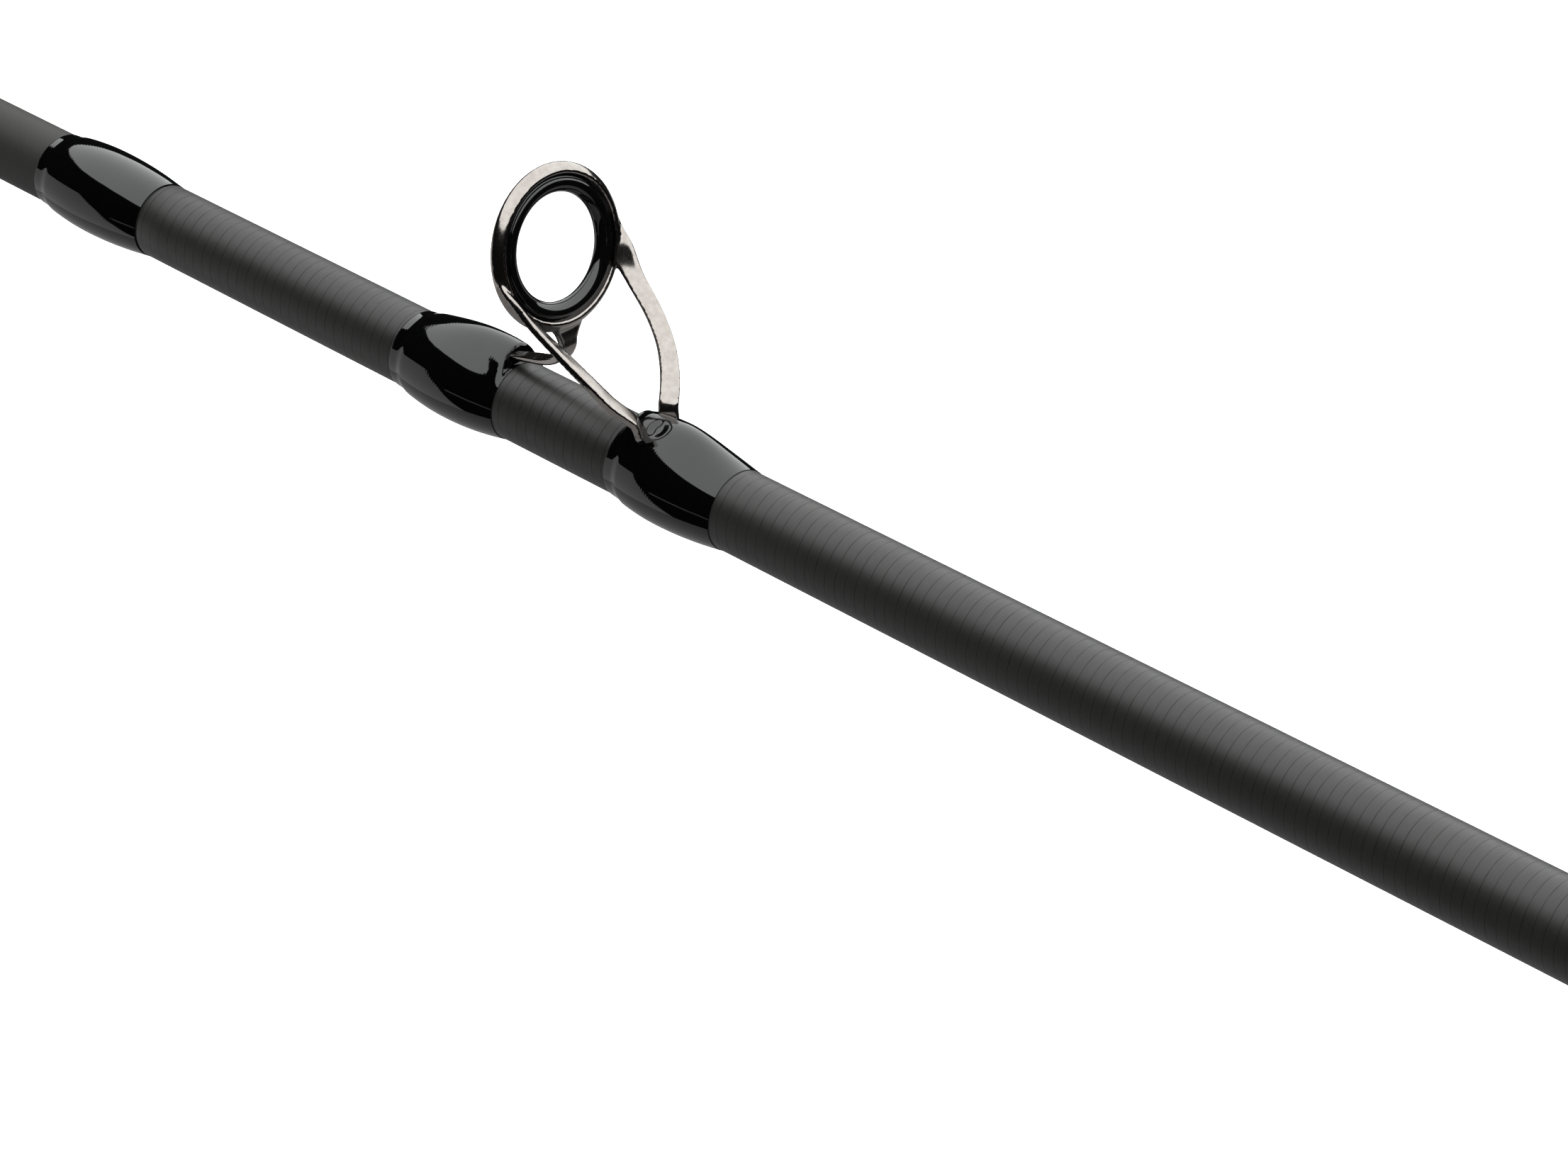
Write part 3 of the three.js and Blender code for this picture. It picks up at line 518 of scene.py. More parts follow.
def moulded_look(name, dark, light, low, high, stipple, depth):
    """Moulded plastic or rubber of two tones, with a roughness from low to high and a stippled skin."""
    look = Look(name, IOR=1.5)
    look.use(Base_Color=look.ramp(look.noise(2.2, 6.0), (0.3, dark), (0.75, light)))
    look.use(Roughness=look.ramp(look.noise(6, 3.0), (0.3, low), (0.7, high)))
    look.use(Normal=look.bump(look.noise(stipple, 3.0), depth, look.bump(look.noise(12, 1.0), 0.03)))
    return look.material


def machined_look(name, dark, light, low, high, axis=None, pitch=0.12):
    """Machined metal of two tones, with a roughness from low to high. axis is a node that tool marks run
    round, pitch millimetres apart."""
    look = Look(name, Metallic=1.0)
    mottle = look.noise(3.5, 5.0)
    look.use(Base_Color=look.ramp(mottle, (0.3, dark), (0.72, light)))
    scuff = look.noise(0.5, 5.0, (1, 4, 1))
    look.use(Roughness=look.ramp(scuff, (0.3, low), (0.75, high)))
    under = look.bump(look.noise(0.25, 2.0, (1, 6, 1)), 0.0012)
    if axis:
        place = look.node("SeparateXYZ", {"Vector": look.place}).outputs
        centre = middle(axis) * MM
        away = [look.math("SUBTRACT", place["X"], centre.x), look.math("SUBTRACT", place["Z"], centre.z)]
        squares = [look.math("MULTIPLY", value, value) for value in away]
        radius = look.math("SQRT", look.math("ADD", *squares))
        rings = look.math("SINE", look.math("MULTIPLY", radius, 2 * math.pi / (pitch * MM)))
        under = look.bump(look.math("MULTIPLY", rings, look.noise(4, 2.0)), 0.0012, under)
    look.use(Normal=under)
    return look.material


GRAPHITE = graphite_look()
SATIN_GRAPHITE = satin_graphite_look()
EPOXY = epoxy_look()
GUIDE_METAL = guide_metal_look()
CERAMIC = ceramic_look()
FOAM = foam_look()
RUBBER = moulded_look("rubber", (0.012, 0.012, 0.012), (0.024, 0.024, 0.023), 0.55, 0.72, 0.35, 0.02)
SEAT_PLASTIC = moulded_look("seat_plastic", (0.014, 0.014, 0.015), (0.024, 0.024, 0.026), 0.32, 0.45, 0.22,
                            0.006)
KNOB_PLASTIC = moulded_look("knob_plastic", (0.012, 0.012, 0.013), (0.022, 0.022, 0.024), 0.2, 0.32, 0.8,
                            0.006)
FRICTION = moulded_look("friction", (0.09, 0.08, 0.07), (0.15, 0.14, 0.12), 0.75, 0.9, 0.15, 0.02)
DARK_METAL = machined_look("dark_metal", (0.055, 0.06, 0.068), (0.085, 0.09, 0.1), 0.24, 0.34, "spool", 0.18)
BRIGHT_METAL = machined_look("bright_metal", (0.56, 0.57, 0.59), (0.66, 0.67, 0.69), 0.13, 0.24, "spool")
STEEL = machined_look("steel", (0.5, 0.5, 0.51), (0.63, 0.63, 0.64), 0.16, 0.28)
BRASS = machined_look("brass", (0.6, 0.44, 0.2), (0.7, 0.54, 0.28), 0.2, 0.34)

# ---- blank ----


def taper(start, end):
    """Outside points every few millimetres: the shading keeps to the taper right up to a rounded end."""
    count = math.ceil((end - 1 - start) / BLANK_STEP)
    stations = [start + BLANK_STEP * k for k in range(count)]
    return [(x, blank_radius(x)) for x in stations]


def build_blank():
    """The butt section with its spigot, and the tip section with its socket."""
    low, high = box("butt_blank")
    joint = JOINT_X + JOINT_GAP
    shoulder = blank_radius(joint)
    spigot = [(low.x, 0), (low.x, 3.6), (low.x + 0.6, 4.0), (joint - 0.2, 4.15),
              (joint - 0.1, shoulder - 0.2), (joint, shoulder - 0.05)]
    profile = [*spigot, *taper(joint + 0.2, high.x), (high.x, blank_radius(high.x)), (high.x, 0)]
    piece("butt_blank", turned(profile, 96), "rod", GRAPHITE)

    low, high = box("tip_blank")
    outside = taper(low.x + 0.5, high.x)
    rim = blank_radius(high.x)
    mouth = [(high.x - 0.4, rim), (high.x, rim - 0.35), (high.x, 4.3), (high.x - SOCKET, 4.2)]
    profile = [(low.x, 0), (low.x, outside[0][1] - 0.2), *outside, *mouth, (high.x - SOCKET, 0)]
    piece("tip_blank", turned(profile, 96), "tip_section", SATIN_GRAPHITE)


# ---- thread wraps ----

COAT_EDGE = 0.1  # the coat's height where it ends
WRAP_BITE = 0.05  # how far a wrap sinks into the blank
LUMP_BEARING = 8  # degrees from the top to the middle of the lump over a guide foot
LUMP_END = 30  # degrees that the lump spreads to each side where the foot comes out


def wrap(name, body, rise, peak, foot=0.0, foot_at=0, hump=0.6, collar=1.3, spread=LUMP_END,
         dimple=None, segments=96, rows=72):
    """A thread wrap under epoxy. rise is the coat's height at its highest, at the share peak of the length
    from the tip end. foot is how much the guide foot lifts it on top, at the butt end for foot_at 1 and at
    the tip end for -1, over the share hump of the length and spread degrees to each side. collar is the
    length of the thin coat at the tip end. dimple is (x, bearing in degrees, radius, depth)."""
    low, high = box(name)
    start = low.x
    length = high.x - start
    around = [2 * math.pi * k / segments for k in range(segments)]
    shares = [0.5 - 0.5 * math.cos(math.pi * i / rows) for i in range(rows + 1)]
    vertices = []
    for t in shares:
        x = start + t * length
        base = blank_radius(x)
        reach = peak if t < peak else 1 - peak
        coat = rise * max(0, 1 - ((t - peak) / reach) ** 2)
        edge = COAT_EDGE * smoothstep(t * length / 0.15)
        if collar:
            full = smoothstep((t * length - collar) / (1.2 * collar))
            coat = coat * full + (1 - full) * min(coat, 0.13 * t * length / collar)
        share = t if foot_at > 0 else 1 - t
        lift = foot * smoothstep(share / hump) * smoothstep((1 - share) * length / 1.2)
        width = spread + (LUMP_END - spread) * smoothstep((share - 0.7) / 0.3)
        for angle in around:
            turn = math.degrees(angle) - LUMP_BEARING
            turn = min(abs(turn), 360 - turn)
            radius = base + edge + coat + lift * math.exp(-(turn / width) ** 2)
            if dimple:
                at, bearing, size, depth = dimple
                swing = (angle - math.radians(bearing) + math.pi) % (2 * math.pi) - math.pi
                radius -= depth * math.exp(-(math.hypot(x - at, radius * swing) / size) ** 4)
            vertices.append(Vector((x, radius * math.sin(angle), radius * math.cos(angle))))
    for t in (1, 0):
        x = start + t * length
        for angle in around:
            radius = blank_radius(x) - WRAP_BITE
            vertices.append(Vector((x, radius * math.sin(angle), radius * math.cos(angle))))
    piece(name, mesh_of(vertices, quads(rows + 3, segments, closed=True)), body, EPOXY)


# ---- guides ----


def ring_place(ring):
    """The matrix from a ring's own frame, its axis along X, to its place on the rod."""
    return Matrix.Translation(middle(ring)) @ Matrix.Rotation(-LEAN, 4, "Y")


def ring_insert(ring, k, body):
    """A ceramic ring: a rounded bore that swells to a face on each side, and a thinner rim."""
    near = [(0, 7.3), (0.35, 7.36), (0.7, 7.58), (0.98, 7.95), (1.15, 8.4), (1.2, 8.9), (1.05, 9.22),
            (0.8, 9.35), (0.7, 9.9)]
    far = [(-0.7, 9.9), (-0.8, 9.35), (-1.05, 9.22), (-1.25, 8.9), (-1.2, 8.4), (-1.0, 7.95), (-0.7, 7.58),
           (-0.35, 7.36)]
    profile = [p * k for side in (near, far) for p in curve(side, 4)]
    piece(ring, turned(profile, 96, ring_place(ring)), body, CERAMIC)


LEG_PATH = [
    # x behind the ring's centre, half spacing, share of the drop to the foot, width, thickness, inwardness
    (-0.3, 10.4, -0.12, 1.0, 0.4, 0.3),
    (0.5, 10.5, 0.04, 1.8, 0.6, 0.35),
    (2.3, 9.95, 0.18, 3.2, 0.95, 0.56),
    (5.2, 9.3, 0.32, 2.6, 1.1, 0.49),
    (9.8, 8.3, 0.487, 2.45, 1.1, 0.37),
    (13.1, 7.1, 0.636, 2.5, 1.1, 0.34),
    (15.4, 5.55, 0.785, 2.65, 1.1, 0.34),
    (17.0, 3.8, 0.895, 2.7, 1.1, 0.4),
    (17.5, 3.1, 0.95, 2.7, 1.1, 0.44),
    (18.1, 2.7, 1.06, 2.7, 1.1, 0.46),
]
STRAP_PATH = [
    # x behind the ring's centre, height above the foot, width, thickness
    (1.6, 9.4, 7.5, 1.3),
    (1.9, 8.2, 5.0, 1.1),
    (1.95, 6.4, 3.2, 1.0),
    (1.8, 4.6, 2.8, 1.0),
    (0.7, 3.0, 2.5, 1.0),
    (-1.6, 1.7, 2.4, 1.0),
    (-4.6, 0.8, 2.3, 0.9),
    (-8.5, -0.3, 2.0, 0.8),
]
STRAP_DROP = 19.5  # from the ring's centre to the foot where STRAP_PATH is at its own size
STRIP = rounded([(-0.5, -0.5, 0.12), (0.5, -0.5, 0.12), (0.5, 0.5, 0.12), (-0.5, 0.5, 0.12)])


def band_profile(k):
    """The section of the metal band round a ring insert, which leans back to a rounded outer edge."""
    corners = [(-0.6, 9.8, 0.2), (1.25, 9.8, 0.2), (1.35, 10.35, 0.2), (0.45, 11.3, 0.45),
               (-0.15, 11.4, 0.3), (-0.6, 11.2, 0.3)]
    return rounded([(x * k, r * k, size * k) for x, r, size in corners], steps=6)


def guide_frame(number, body, k, two_feet):
    """A guide's metal: the band, two legs, the foot that they share and, on a guide with two feet, the
    strap to the front one. k is its size beside the largest guide's."""
    ring = f"guide_{number}_ring"
    centre = middle(ring)
    foot = blank_radius(centre.x) + 1.4 * k
    drop = centre.z - foot
    parts = [turned(band_profile(k), 96, ring_place(ring))]
    for side in (-1, 1):
        path, facing = [], []
        for x, y, fall, width, thick, inward in curve(LEG_PATH, 8):
            path.append((centre.x + x * k, side * y * k, centre.z - drop * fall, width * k, thick * k))
            facing.append(Vector((0.678, 0, 0.735)).lerp(Vector((0.1, -side, 0)), inward))
        parts.append(swept(path, STRIP, facing))
    tongue = [(16.6, -0.5, 3.0, 0.9), (19.4, -0.8, 3.6, 0.9), (23.4, -0.9, 3.4, 0.8), (30.0, -1.0, 2.4, 0.5)]
    tongue = [(centre.x + x * k, 0, foot + z * k, w * k, t * k) for x, z, w, t in tongue]
    parts.append(swept(curve(tongue, 6), STRIP, [(0, 0, 1)]))
    if two_feet:
        rise = drop / STRAP_DROP
        strap = [(centre.x + x * k, 0, foot + z * rise, w * k, t * k) for x, z, w, t in STRAP_PATH]
        low = blank_radius(centre.x - 20 * k)
        strap += [(centre.x - 13 * k, 0, low + 0.9 * k, 3.2 * k, 0.9 * k),
                  (centre.x - 22 * k, 0, low + 0.45 * k, 2.2 * k, 0.5 * k)]
        strap = curve(strap, 8)
        facing = [(Vector(b[:3]) - Vector(a[:3])).cross(Vector((0, 1, 0))) for a, b in zip(strap, strap[1:])]
        parts.append(swept(strap, STRIP, [*facing, facing[-1]]))
    made = melted(loose(f"guide_{number}_frame_fine", merged(*parts)), 0.2 * k, 8)
    piece(f"guide_{number}_frame", made, body, GUIDE_METAL, sharp=0)


def build_guides():
    """Six guides, numbered from the reel. The two largest have a front foot and so a front wrap."""
    for number in range(1, 7):
        body = "rod" if number == 1 else "tip_section"
        two_feet = f"guide_{number}_front_wrap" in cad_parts
        ring = f"guide_{number}_ring"
        low, high = box(ring)
        k = (high.y - low.y + 2 * SEAT_GAP) / LARGEST_SEAT
        ring_insert(ring, k, body)
        guide_frame(number, body, k, two_feet)
        if two_feet:
            wrap(f"guide_{number}_front_wrap", body, 1.08 * k, 0.48, foot=2.2 * k, foot_at=1, hump=1.0,
                 spread=24)
            pit = middle(ring).x + 19.9 * k
            wrap(f"guide_{number}_rear_wrap", body, 0.92 * k, 0.43, foot=1.5 * k, foot_at=-1,
                 dimple=(pit, -9, 1.2 * k, 0.33 * k), segments=160, rows=110)
        else:
            wrap(f"guide_{number}_wrap", body, 0.92 * k, 0.43, foot=1.5 * k, foot_at=-1)


# ---- tip top and hook keeper ----


def build_tip_top():
    """The ring at the tip, held by two legs and a post on a sleeve over the blank's end."""
    centre = middle("tip_top_ring")
    k = 0.5
    ring_insert("tip_top_ring", k, "tip_section")
    start = box("tip_top_wrap")[0].x - SEAT_GAP
    nose = start - 20.4
    sleeve = [(start, 0), (start, 2.05, 0.2), (nose + 3, 1.98, 1.5), (nose + 0.3, 1.3, 0.9), (nose, 0)]
    parts = [turned(rounded(sleeve, False), 48), turned(band_profile(k), 64, ring_place("tip_top_ring"))]
    for side in (-1, 1):
        leg = [(0.3, 5.15, -0.3), (1.4, 5.2, -1.2), (3.6, 4.6, -3.4), (8.2, 2.4, -5.4), (12.4, 1.3, -7.1),
               (14.5, 0.8, -7.6)]
        path = [(centre.x + x, side * y, centre.z + z, 1.3, 0.8) for x, y, z in leg]
        parts.append(swept(curve(path, 6), STRIP, [(0.5, -side, 0.4)]))
    post = [(1.0, -4.9), (1.5, -5.6), (1.8, -6.4), (2.2, -7.6)]
    path = [(centre.x + x, 0, centre.z + z, 1.9, 0.8) for x, z in post]
    parts.append(swept(curve(path, 6), STRIP, [(1, 0, 0.3)]))
    made = melted(loose("tip_top_frame_fine", merged(*parts)), 0.13, 5)
    piece("tip_top_frame", made, "tip_section", GUIDE_METAL, sharp=0)
    wrap("tip_top_wrap", "tip_section", 0.6, 0.5, collar=0.8)


def build_keeper():
    """A wire loop that comes out of its own wrap."""
    low, high = box("hook_keeper_wrap")
    end, under, wire = high.x, blank_radius(high.x), 0.9
    leg = [(low.x + 3, -2.6, 0.5), (end - 3, -2.6, 0.6), (end - 0.5, -2.6, 1.1), (end + 0.9, -2.5, 2.5),
           (end + 2.0, -1.7, 4.1)]
    leg = [(x, y, under + z, wire, wire) for x, y, z in leg]
    bend = (end + 2.2, 0, under + 4.45, wire, wire)
    path = curve([*leg, bend, *[(x, -y, z, w, t) for x, y, z, w, t in reversed(leg)]], 8)
    angles = [2 * math.pi * k / 12 for k in range(12)]
    section = [(0.5 * math.cos(a), 0.5 * math.sin(a)) for a in angles]
    flat, tipped = (0, 0, 1), (1, 0, 0.6)
    facing = [flat] * 28 + [tipped] * 32 + [flat]
    piece("hook_keeper", swept(path, section, facing), "rod", GUIDE_METAL)
    wrap("hook_keeper_wrap", "rod", 1.0, 0.5, collar=0.9)


# ---- handle ----


def lathe(node, corners, body, look, place=ALONG_X, segments=96, steps=4, relief=None, step=None,
          sharp=35):
    """A turned piece that stands for one node, from corners with rounds."""
    on_axis = corners[0][1] == 0
    profile = rounded(corners, closed=not on_axis, steps=steps)
    if step:
        profile = dense(profile, step)
    made = turned(profile, segments, place, relief)
    return piece(node, made, body, look, sharp=sharp)


def grip(node, radii):
    """A foam grip through these radii, spaced evenly from its butt end."""
    low, high = box(node)
    step = (high.x - low.x) / (len(radii) - 1)
    line = curve([(high.x - i * step, r) for i, r in enumerate(radii)], 10)
    ends = [(high.x, radii[0] - 3.2), (high.x, radii[0] - 1.2), (high.x - 0.4, radii[0] - 0.4)]
    tips = [(low.x + 0.4, radii[-1] - 0.4), (low.x, radii[-1] - 1.2), (low.x, radii[-1] - 3.2)]
    profile = [*ends, *line[1:-1], *tips]
    profile = [(x, min(r, radii[0] - 0.1) if x > high.x - 2 else r) for x, r in profile]
    made = lathe(node, [(high.x, 0), *profile, (low.x, 0)], "rod", FOAM, segments=128, sharp=50)


def bezier(start, first, second, end):
    """Ten points of a cubic curve, from its start to just before its end."""
    points = []
    for k in range(10):
        t = k / 10
        u = 1 - t
        points.append(tuple(u ** 3 * a + 3 * u * u * t * b + 3 * u * t * t * c + t ** 3 * d
                            for a, b, c, d in zip(start, first, second, end)))
    return points


SCREW_ROOT = -383  # x where the threaded end starts, inside the seat's barrel
SHELF_END = -384
THREAD_START = -386
SCREW_PITCH = 2


def build_seat():
    """The seat with its fixed hood and trigger, and its threaded end."""
    low, high = box("reel_seat")
    thread_end, butt = low.x, high.x
    foot_low, foot_high = box("reel_foot")
    flat = foot_low.z - 0.3
    hood_end = foot_high.x - 6
    barrel = foot_high.x - 55
    profile = [(barrel - 22, 0), (barrel - 22, 10.2), (barrel - 0.6, 10.2, 0.3), (barrel, 11.5, 0.5),
               (hood_end - 2, 11.5, 1.2), (hood_end, 13.9, 1.2), (butt - 4.5, 13.9, 4),
               (butt - 0.8, 12.4, 0.8), (butt, 12.0, 0.5), (butt, 0)]
    seat = loose("reel_seat_fine", turned(rounded(profile, False, 6), 96))
    corner = Vector((thread_end + 72, -9))
    hook = [*bezier((0, 0), (2, -6), (6, -8), (8, -15)),
            *bezier((8, -15), (9, -20), (13, -22), (15.5, -19.5)),
            *bezier((15.5, -19.5), (17, -17), (14, -12), (15, -8)),
            *bezier((15, -8), (16, -4.5), (21, -3.5), (30, 0)), (30, 4), (0, 4)]
    combine(seat, slab([corner + Vector(p) for p in hook], -4.1, 4.1, 1.6), "UNION")
    cut_box(seat, SHELF_END, hood_end, flat, 20, 16, 0.1)
    cut_box(seat, hood_end - 4, foot_high.x, flat, flat + 2.1, 7, 0.4)
    melted(seat, 0.42, 3)

    def thread(x, radius, angle):
        if radius < 5 or x > THREAD_START or x < thread_end + 1:
            return radius
        wave = 0.5 + 0.5 * math.cos(2 * math.pi * x / SCREW_PITCH + angle)
        return radius - 0.7 * smoothstep(1.4 * wave)

    corners = [(SCREW_ROOT, 0), (SCREW_ROOT, 10.15), (thread_end + 1.2, 10.15), (thread_end + 0.4, 9.9),
               (thread_end, 9.4), (thread_end, 0)]
    beside(seat, turned(dense(corners, 0.25), 96, ALONG_X, thread))
    piece("reel_seat", seat, "rod", SEAT_PLASTIC, sharp=60)


def build_hardware():
    """The sliding hood and the nut that pushes it."""
    low, high = box("moving_hood")
    profile = [*past(high.x, (0, 10.5, 0.3), (0, 13.1, 0.5), (-2, 13.3, 1)),
               *past(low.x, (3.4, 13.3, 0.6), (2.8, 12.9, 0.2), (2.2, 13.2, 0.3), (0, 12.1, 0.6),
                     (0, 10.5, 0.3))]
    hood = loose("moving_hood_fine", turned(rounded(profile, True, 5), 96))
    cut_box(hood, high.x - 12, high.x + 1, 0, 11.6, 7, 0.6)
    melted(hood, 0.28, 3)
    piece("moving_hood", hood, "moving_hood", DARK_METAL, sharp=60)

    low, high = box("lock_nut")

    def flutes(x, radius, angle):
        if radius < 11.5:
            return radius
        turn = (math.degrees(angle) + 18) % 36 - 18
        reach = smoothstep((high.x - 1.6 - x) / 1.2) * smoothstep((x - low.x - 0.9) / 1.2)
        return radius - 1.1 * reach * math.exp(-(turn / 6.5) ** 2)

    corners = [*past(high.x, (0, 10.4), (0, 12.7, 0.4), (-1.2, 13.6, 0.6)),
               *past(low.x, (1, 13.6, 0.5), (0, 12.8, 0.4), (0, 10.4))]
    lathe("lock_nut", corners, "lock_nut", DARK_METAL, segments=240, relief=flutes, step=0.5)


def build_handle():
    """The cap with its two grooves, the grips, the winding check and the reel seat."""
    cap = [(-0.7, 0), (-0.7, 8.4, 0.3), (0, 9.0, 0.3), (0, 11.2, 1.2), (-2.6, 14, 1.6), (-21.5, 13.9, 0.4),
           (-22, 13.2, 0.3), (-23, 13.2, 0.3), (-23.5, 13.85, 0.3), (-24.6, 13.85, 0.3),
           (-25.1, 13.15, 0.3), (-26.1, 13.15, 0.3), (-26.6, 13.75, 0.3), (-29.4, 13.6, 0.5),
           (-30, 13.0, 0.3), (-30, 0)]
    lathe("butt_cap", cap, "rod", RUBBER, segments=128, steps=5)
    grip("rear_grip", (13.4, 13.2, 11.9, 12.4, 12.5))
    grip("fore_grip", (12.4, 13.2, 12.6, 11.2, 9.2))
    low, high = box("winding_check")
    check = [*past(high.x, (0, 6.8), (0, 8.85, 0.25), (-1.1, 8.9, 0.3), (-1.4, 8.5, 0.1), (-1.8, 8.5, 0.1),
                   (-2.1, 8.75, 0.2)), *past(low.x, (0.7, 8.4, 0.5), (0, 7.6, 0.4), (0, 6.8))]
    lathe("winding_check", check, "rod", BRIGHT_METAL, segments=128, steps=5)
    build_seat()
    build_hardware()
    dressed("seat_arbor", SEAT_PLASTIC, 0.3)


# ---- reel ----


def screw_heads(places, face, out):
    """Small socket heads at (x, z) places, with their tops at y = face. out is the sign of the way that
    they face along Y."""
    parts = []
    for x, z in places:
        place = Matrix.Translation((x, face, z)) @ (ALONG_Y if out > 0 else TO_MINUS_Y)
        head = [(-1.4, 0), (-1.4, 1.55), (-0.3, 1.55, 0.3), (0, 1.2, 0.2), (0, 0.85, 0.05),
                (-0.5, 0.8, 0.05), (-0.6, 0)]
        parts.append(turned(rounded(head, False, 3), 24, place))
    return parts


def ring_of(radius, bearings, centre):
    """(x, z) places on a circle, at bearings in degrees."""
    angles = [math.radians(bearing) for bearing in bearings]
    return [(centre.x + radius * math.cos(a), centre.z + radius * math.sin(a)) for a in angles]


PILLARS = ((-13.8, -20.4, 2.0), (20, -14.8, 2.2), (-12, 21.4, 2.0))  # x and z from the spool, and radius
KNURL = (37.2, 40.6)  # y of the ends of the cast control cap's knurling
FINGERS = (53, 70)  # y of the ends of a crank knob's finger grooves
WORM_PITCH = 7
WORM_HALF = 15  # half the length of the worm's grooves


def build_reel_frame():
    """Two side plates with their pillars, the bridge over the foot, and the foot."""
    centre = middle("spool")
    place = about_y("spool")
    parts = []
    for side in (-1, 1):
        plate_edge = [(16.4, 17.4, 0.3), (16.4, 20.6, 0.2), (16.8, 21.0, 0.2), (16.8, 25.2, 0.2),
                      (16.4, 25.6, 0.2), (16.4, 26.6, 0.4), (16.9, 27, 0.4), (19, 27, 0.2), (19, 17.2, 0.3)]
        parts.append(turned([(side * y, r) for y, r in rounded(plate_edge)], 128, place))
    for x, z, radius in PILLARS:
        waist, bead = 0.72 * radius, 0.85 * radius
        post = mirrored([(-17.2, 0), (-17.2, radius), (-15.2, radius, 0.3), (-14.2, waist, 0.5),
                         (-1.6, waist, 0.3), (-1.3, bead, 0.2)])
        at = Matrix.Translation((centre.x + x, 0, centre.z + z)) @ ALONG_Y
        parts.append(turned(rounded(post, False, 4), 32, at))
    bridge = [(-9, -27.1, 0.4), (12, -27.1, 0.4), (12, -24.6, 1.2), (9, -23.4, 1.5), (-6, -23.4, 1.5),
              (-9, -24.6, 1.2)]
    parts.append(slab([centre.xz + p for p in rounded(bridge, True, 5)], -17.2, 17.2, 0.3))
    piece("reel_frame", merged(*parts), "rod", DARK_METAL)

    start = box("reel_foot")[0]
    line = [(0, 8.6, 0.9), (1.5, 10.6, 1.1), (5, 12.4, 1.4), (12, 13.2, 1.6), (21, 13.4, 2.5),
            (45, 13.4, 2.5), (54, 13.2, 1.6), (61, 12.4, 1.4), (64.5, 10.6, 1.1), (66, 8.6, 0.9)]
    path = [(start.x + x, 0, start.z + t / 2, w, t) for x, w, t in line]
    section = rounded([(-0.5, -0.5, 0.03), (0.5, -0.5, 0.03), (0.47, 0.35, 0.08), (0.4, 0.5, 0.06),
                       (-0.4, 0.5, 0.06), (-0.47, 0.35, 0.08)])
    piece("reel_foot", swept(curve(path, 6), section, [(0, 0, 1)]), "rod", BRIGHT_METAL)


def build_covers():
    """The dished covers outside the side plates, from (y, radius) outlines."""
    centre = middle("spool")
    place = about_y("spool")
    skirt = [(21.4, 27, 0.2), (21.2, 26.6, 0.1), (20.6, 26.6, 0.1), (20.4, 27, 0.2), (19.3, 27, 0.2),
             (19.3, 25.4)]
    left = [(29.2, 0), (29.2, 8.0, 0.2), (30, 8.6, 0.3), (30, 10.0, 0.3), (29.6, 10.5, 0.2),
            (29.6, 19.0, 1.2), (28.2, 21.4, 1.5), (26.9, 25.5, 1.6), (25, 27, 1.1), *skirt,
            (25.6, 25.2), (28, 20), (28, 0)]
    cover = turned([(-y, r) for y, r in rounded(left, False, 5)], 128, place)
    heads = screw_heads(ring_of(15.6, (90, 210, 330), centre), -30, -1)
    piece("left_side_cover", merged(cover, *heads), "rod", DARK_METAL)

    right = [(35.5, 0), (35.5, 18.6, 1.2), (33.6, 21.6, 1.5), (32.7, 25.6, 1.6), (31, 27, 1.1), *skirt,
             (31.2, 25.2), (33.8, 20), (33.8, 0)]
    parts = [turned(rounded(right, False, 5), 128, place)]
    for radius, node in ((9.4, "spool"), (8.8, "drive_shaft")):
        boss = [(34.5, 0), (34.5, radius), (35.4, radius - 0.4, 0.5), (36, radius - 1.2, 0.3), (36, 0)]
        parts.append(turned(rounded(boss, False), 96, about_y(node)))
    parts += screw_heads(ring_of(16.6, (20, 160, 200, 340), centre), 35.9, 1)
    piece("right_side_cover", merged(*parts), "rod", DARK_METAL)


def build_spool():
    """The spool, the same at both ends, and the knurled cap that brakes it."""
    place = about_y("spool")
    half = [(-15.6, 1.9), (-15.6, 6, 0.4), (-15.0, 7, 0.4), (-15.0, 13.4, 0.5), (-15.6, 14.2, 0.4),
            (-15.6, 16, 0.35), (-14.5, 16, 0.35), (-13.9, 15.2, 0.3), (-13.1, 10.8, 0.9), (-12.1, 9.5, 0.8),
            (-8.2, 9.5, 0.1), (-8, 9.3, 0.1), (-7.6, 9.3, 0.1), (-7.4, 9.5, 0.1)]
    lathe("spool", mirrored(half), "spool", BRIGHT_METAL, place, 128)

    def knurl(y, radius, angle):
        first, last = KNURL
        if not first < y < last or radius < 5:
            return radius
        return radius - 0.16 * (1 + math.cos(40 * angle))

    low, high = box("cast_control_cap")
    cap = [*past(low.y, (0, 0), (0, 6.3, 0.2), (0.7, 6.4, 0.2), (1, 6.2, 0.1)),
           *past(high.y, (-1.1, 6.2, 0.3), (0, 5.2, 0.5), (0, 3.4, 0.2), (-0.5, 3.1, 0.2), (-0.5, 0))]
    lathe("cast_control_cap", cap, "cast_control", BRIGHT_METAL, place, 320, relief=knurl, step=0.4)


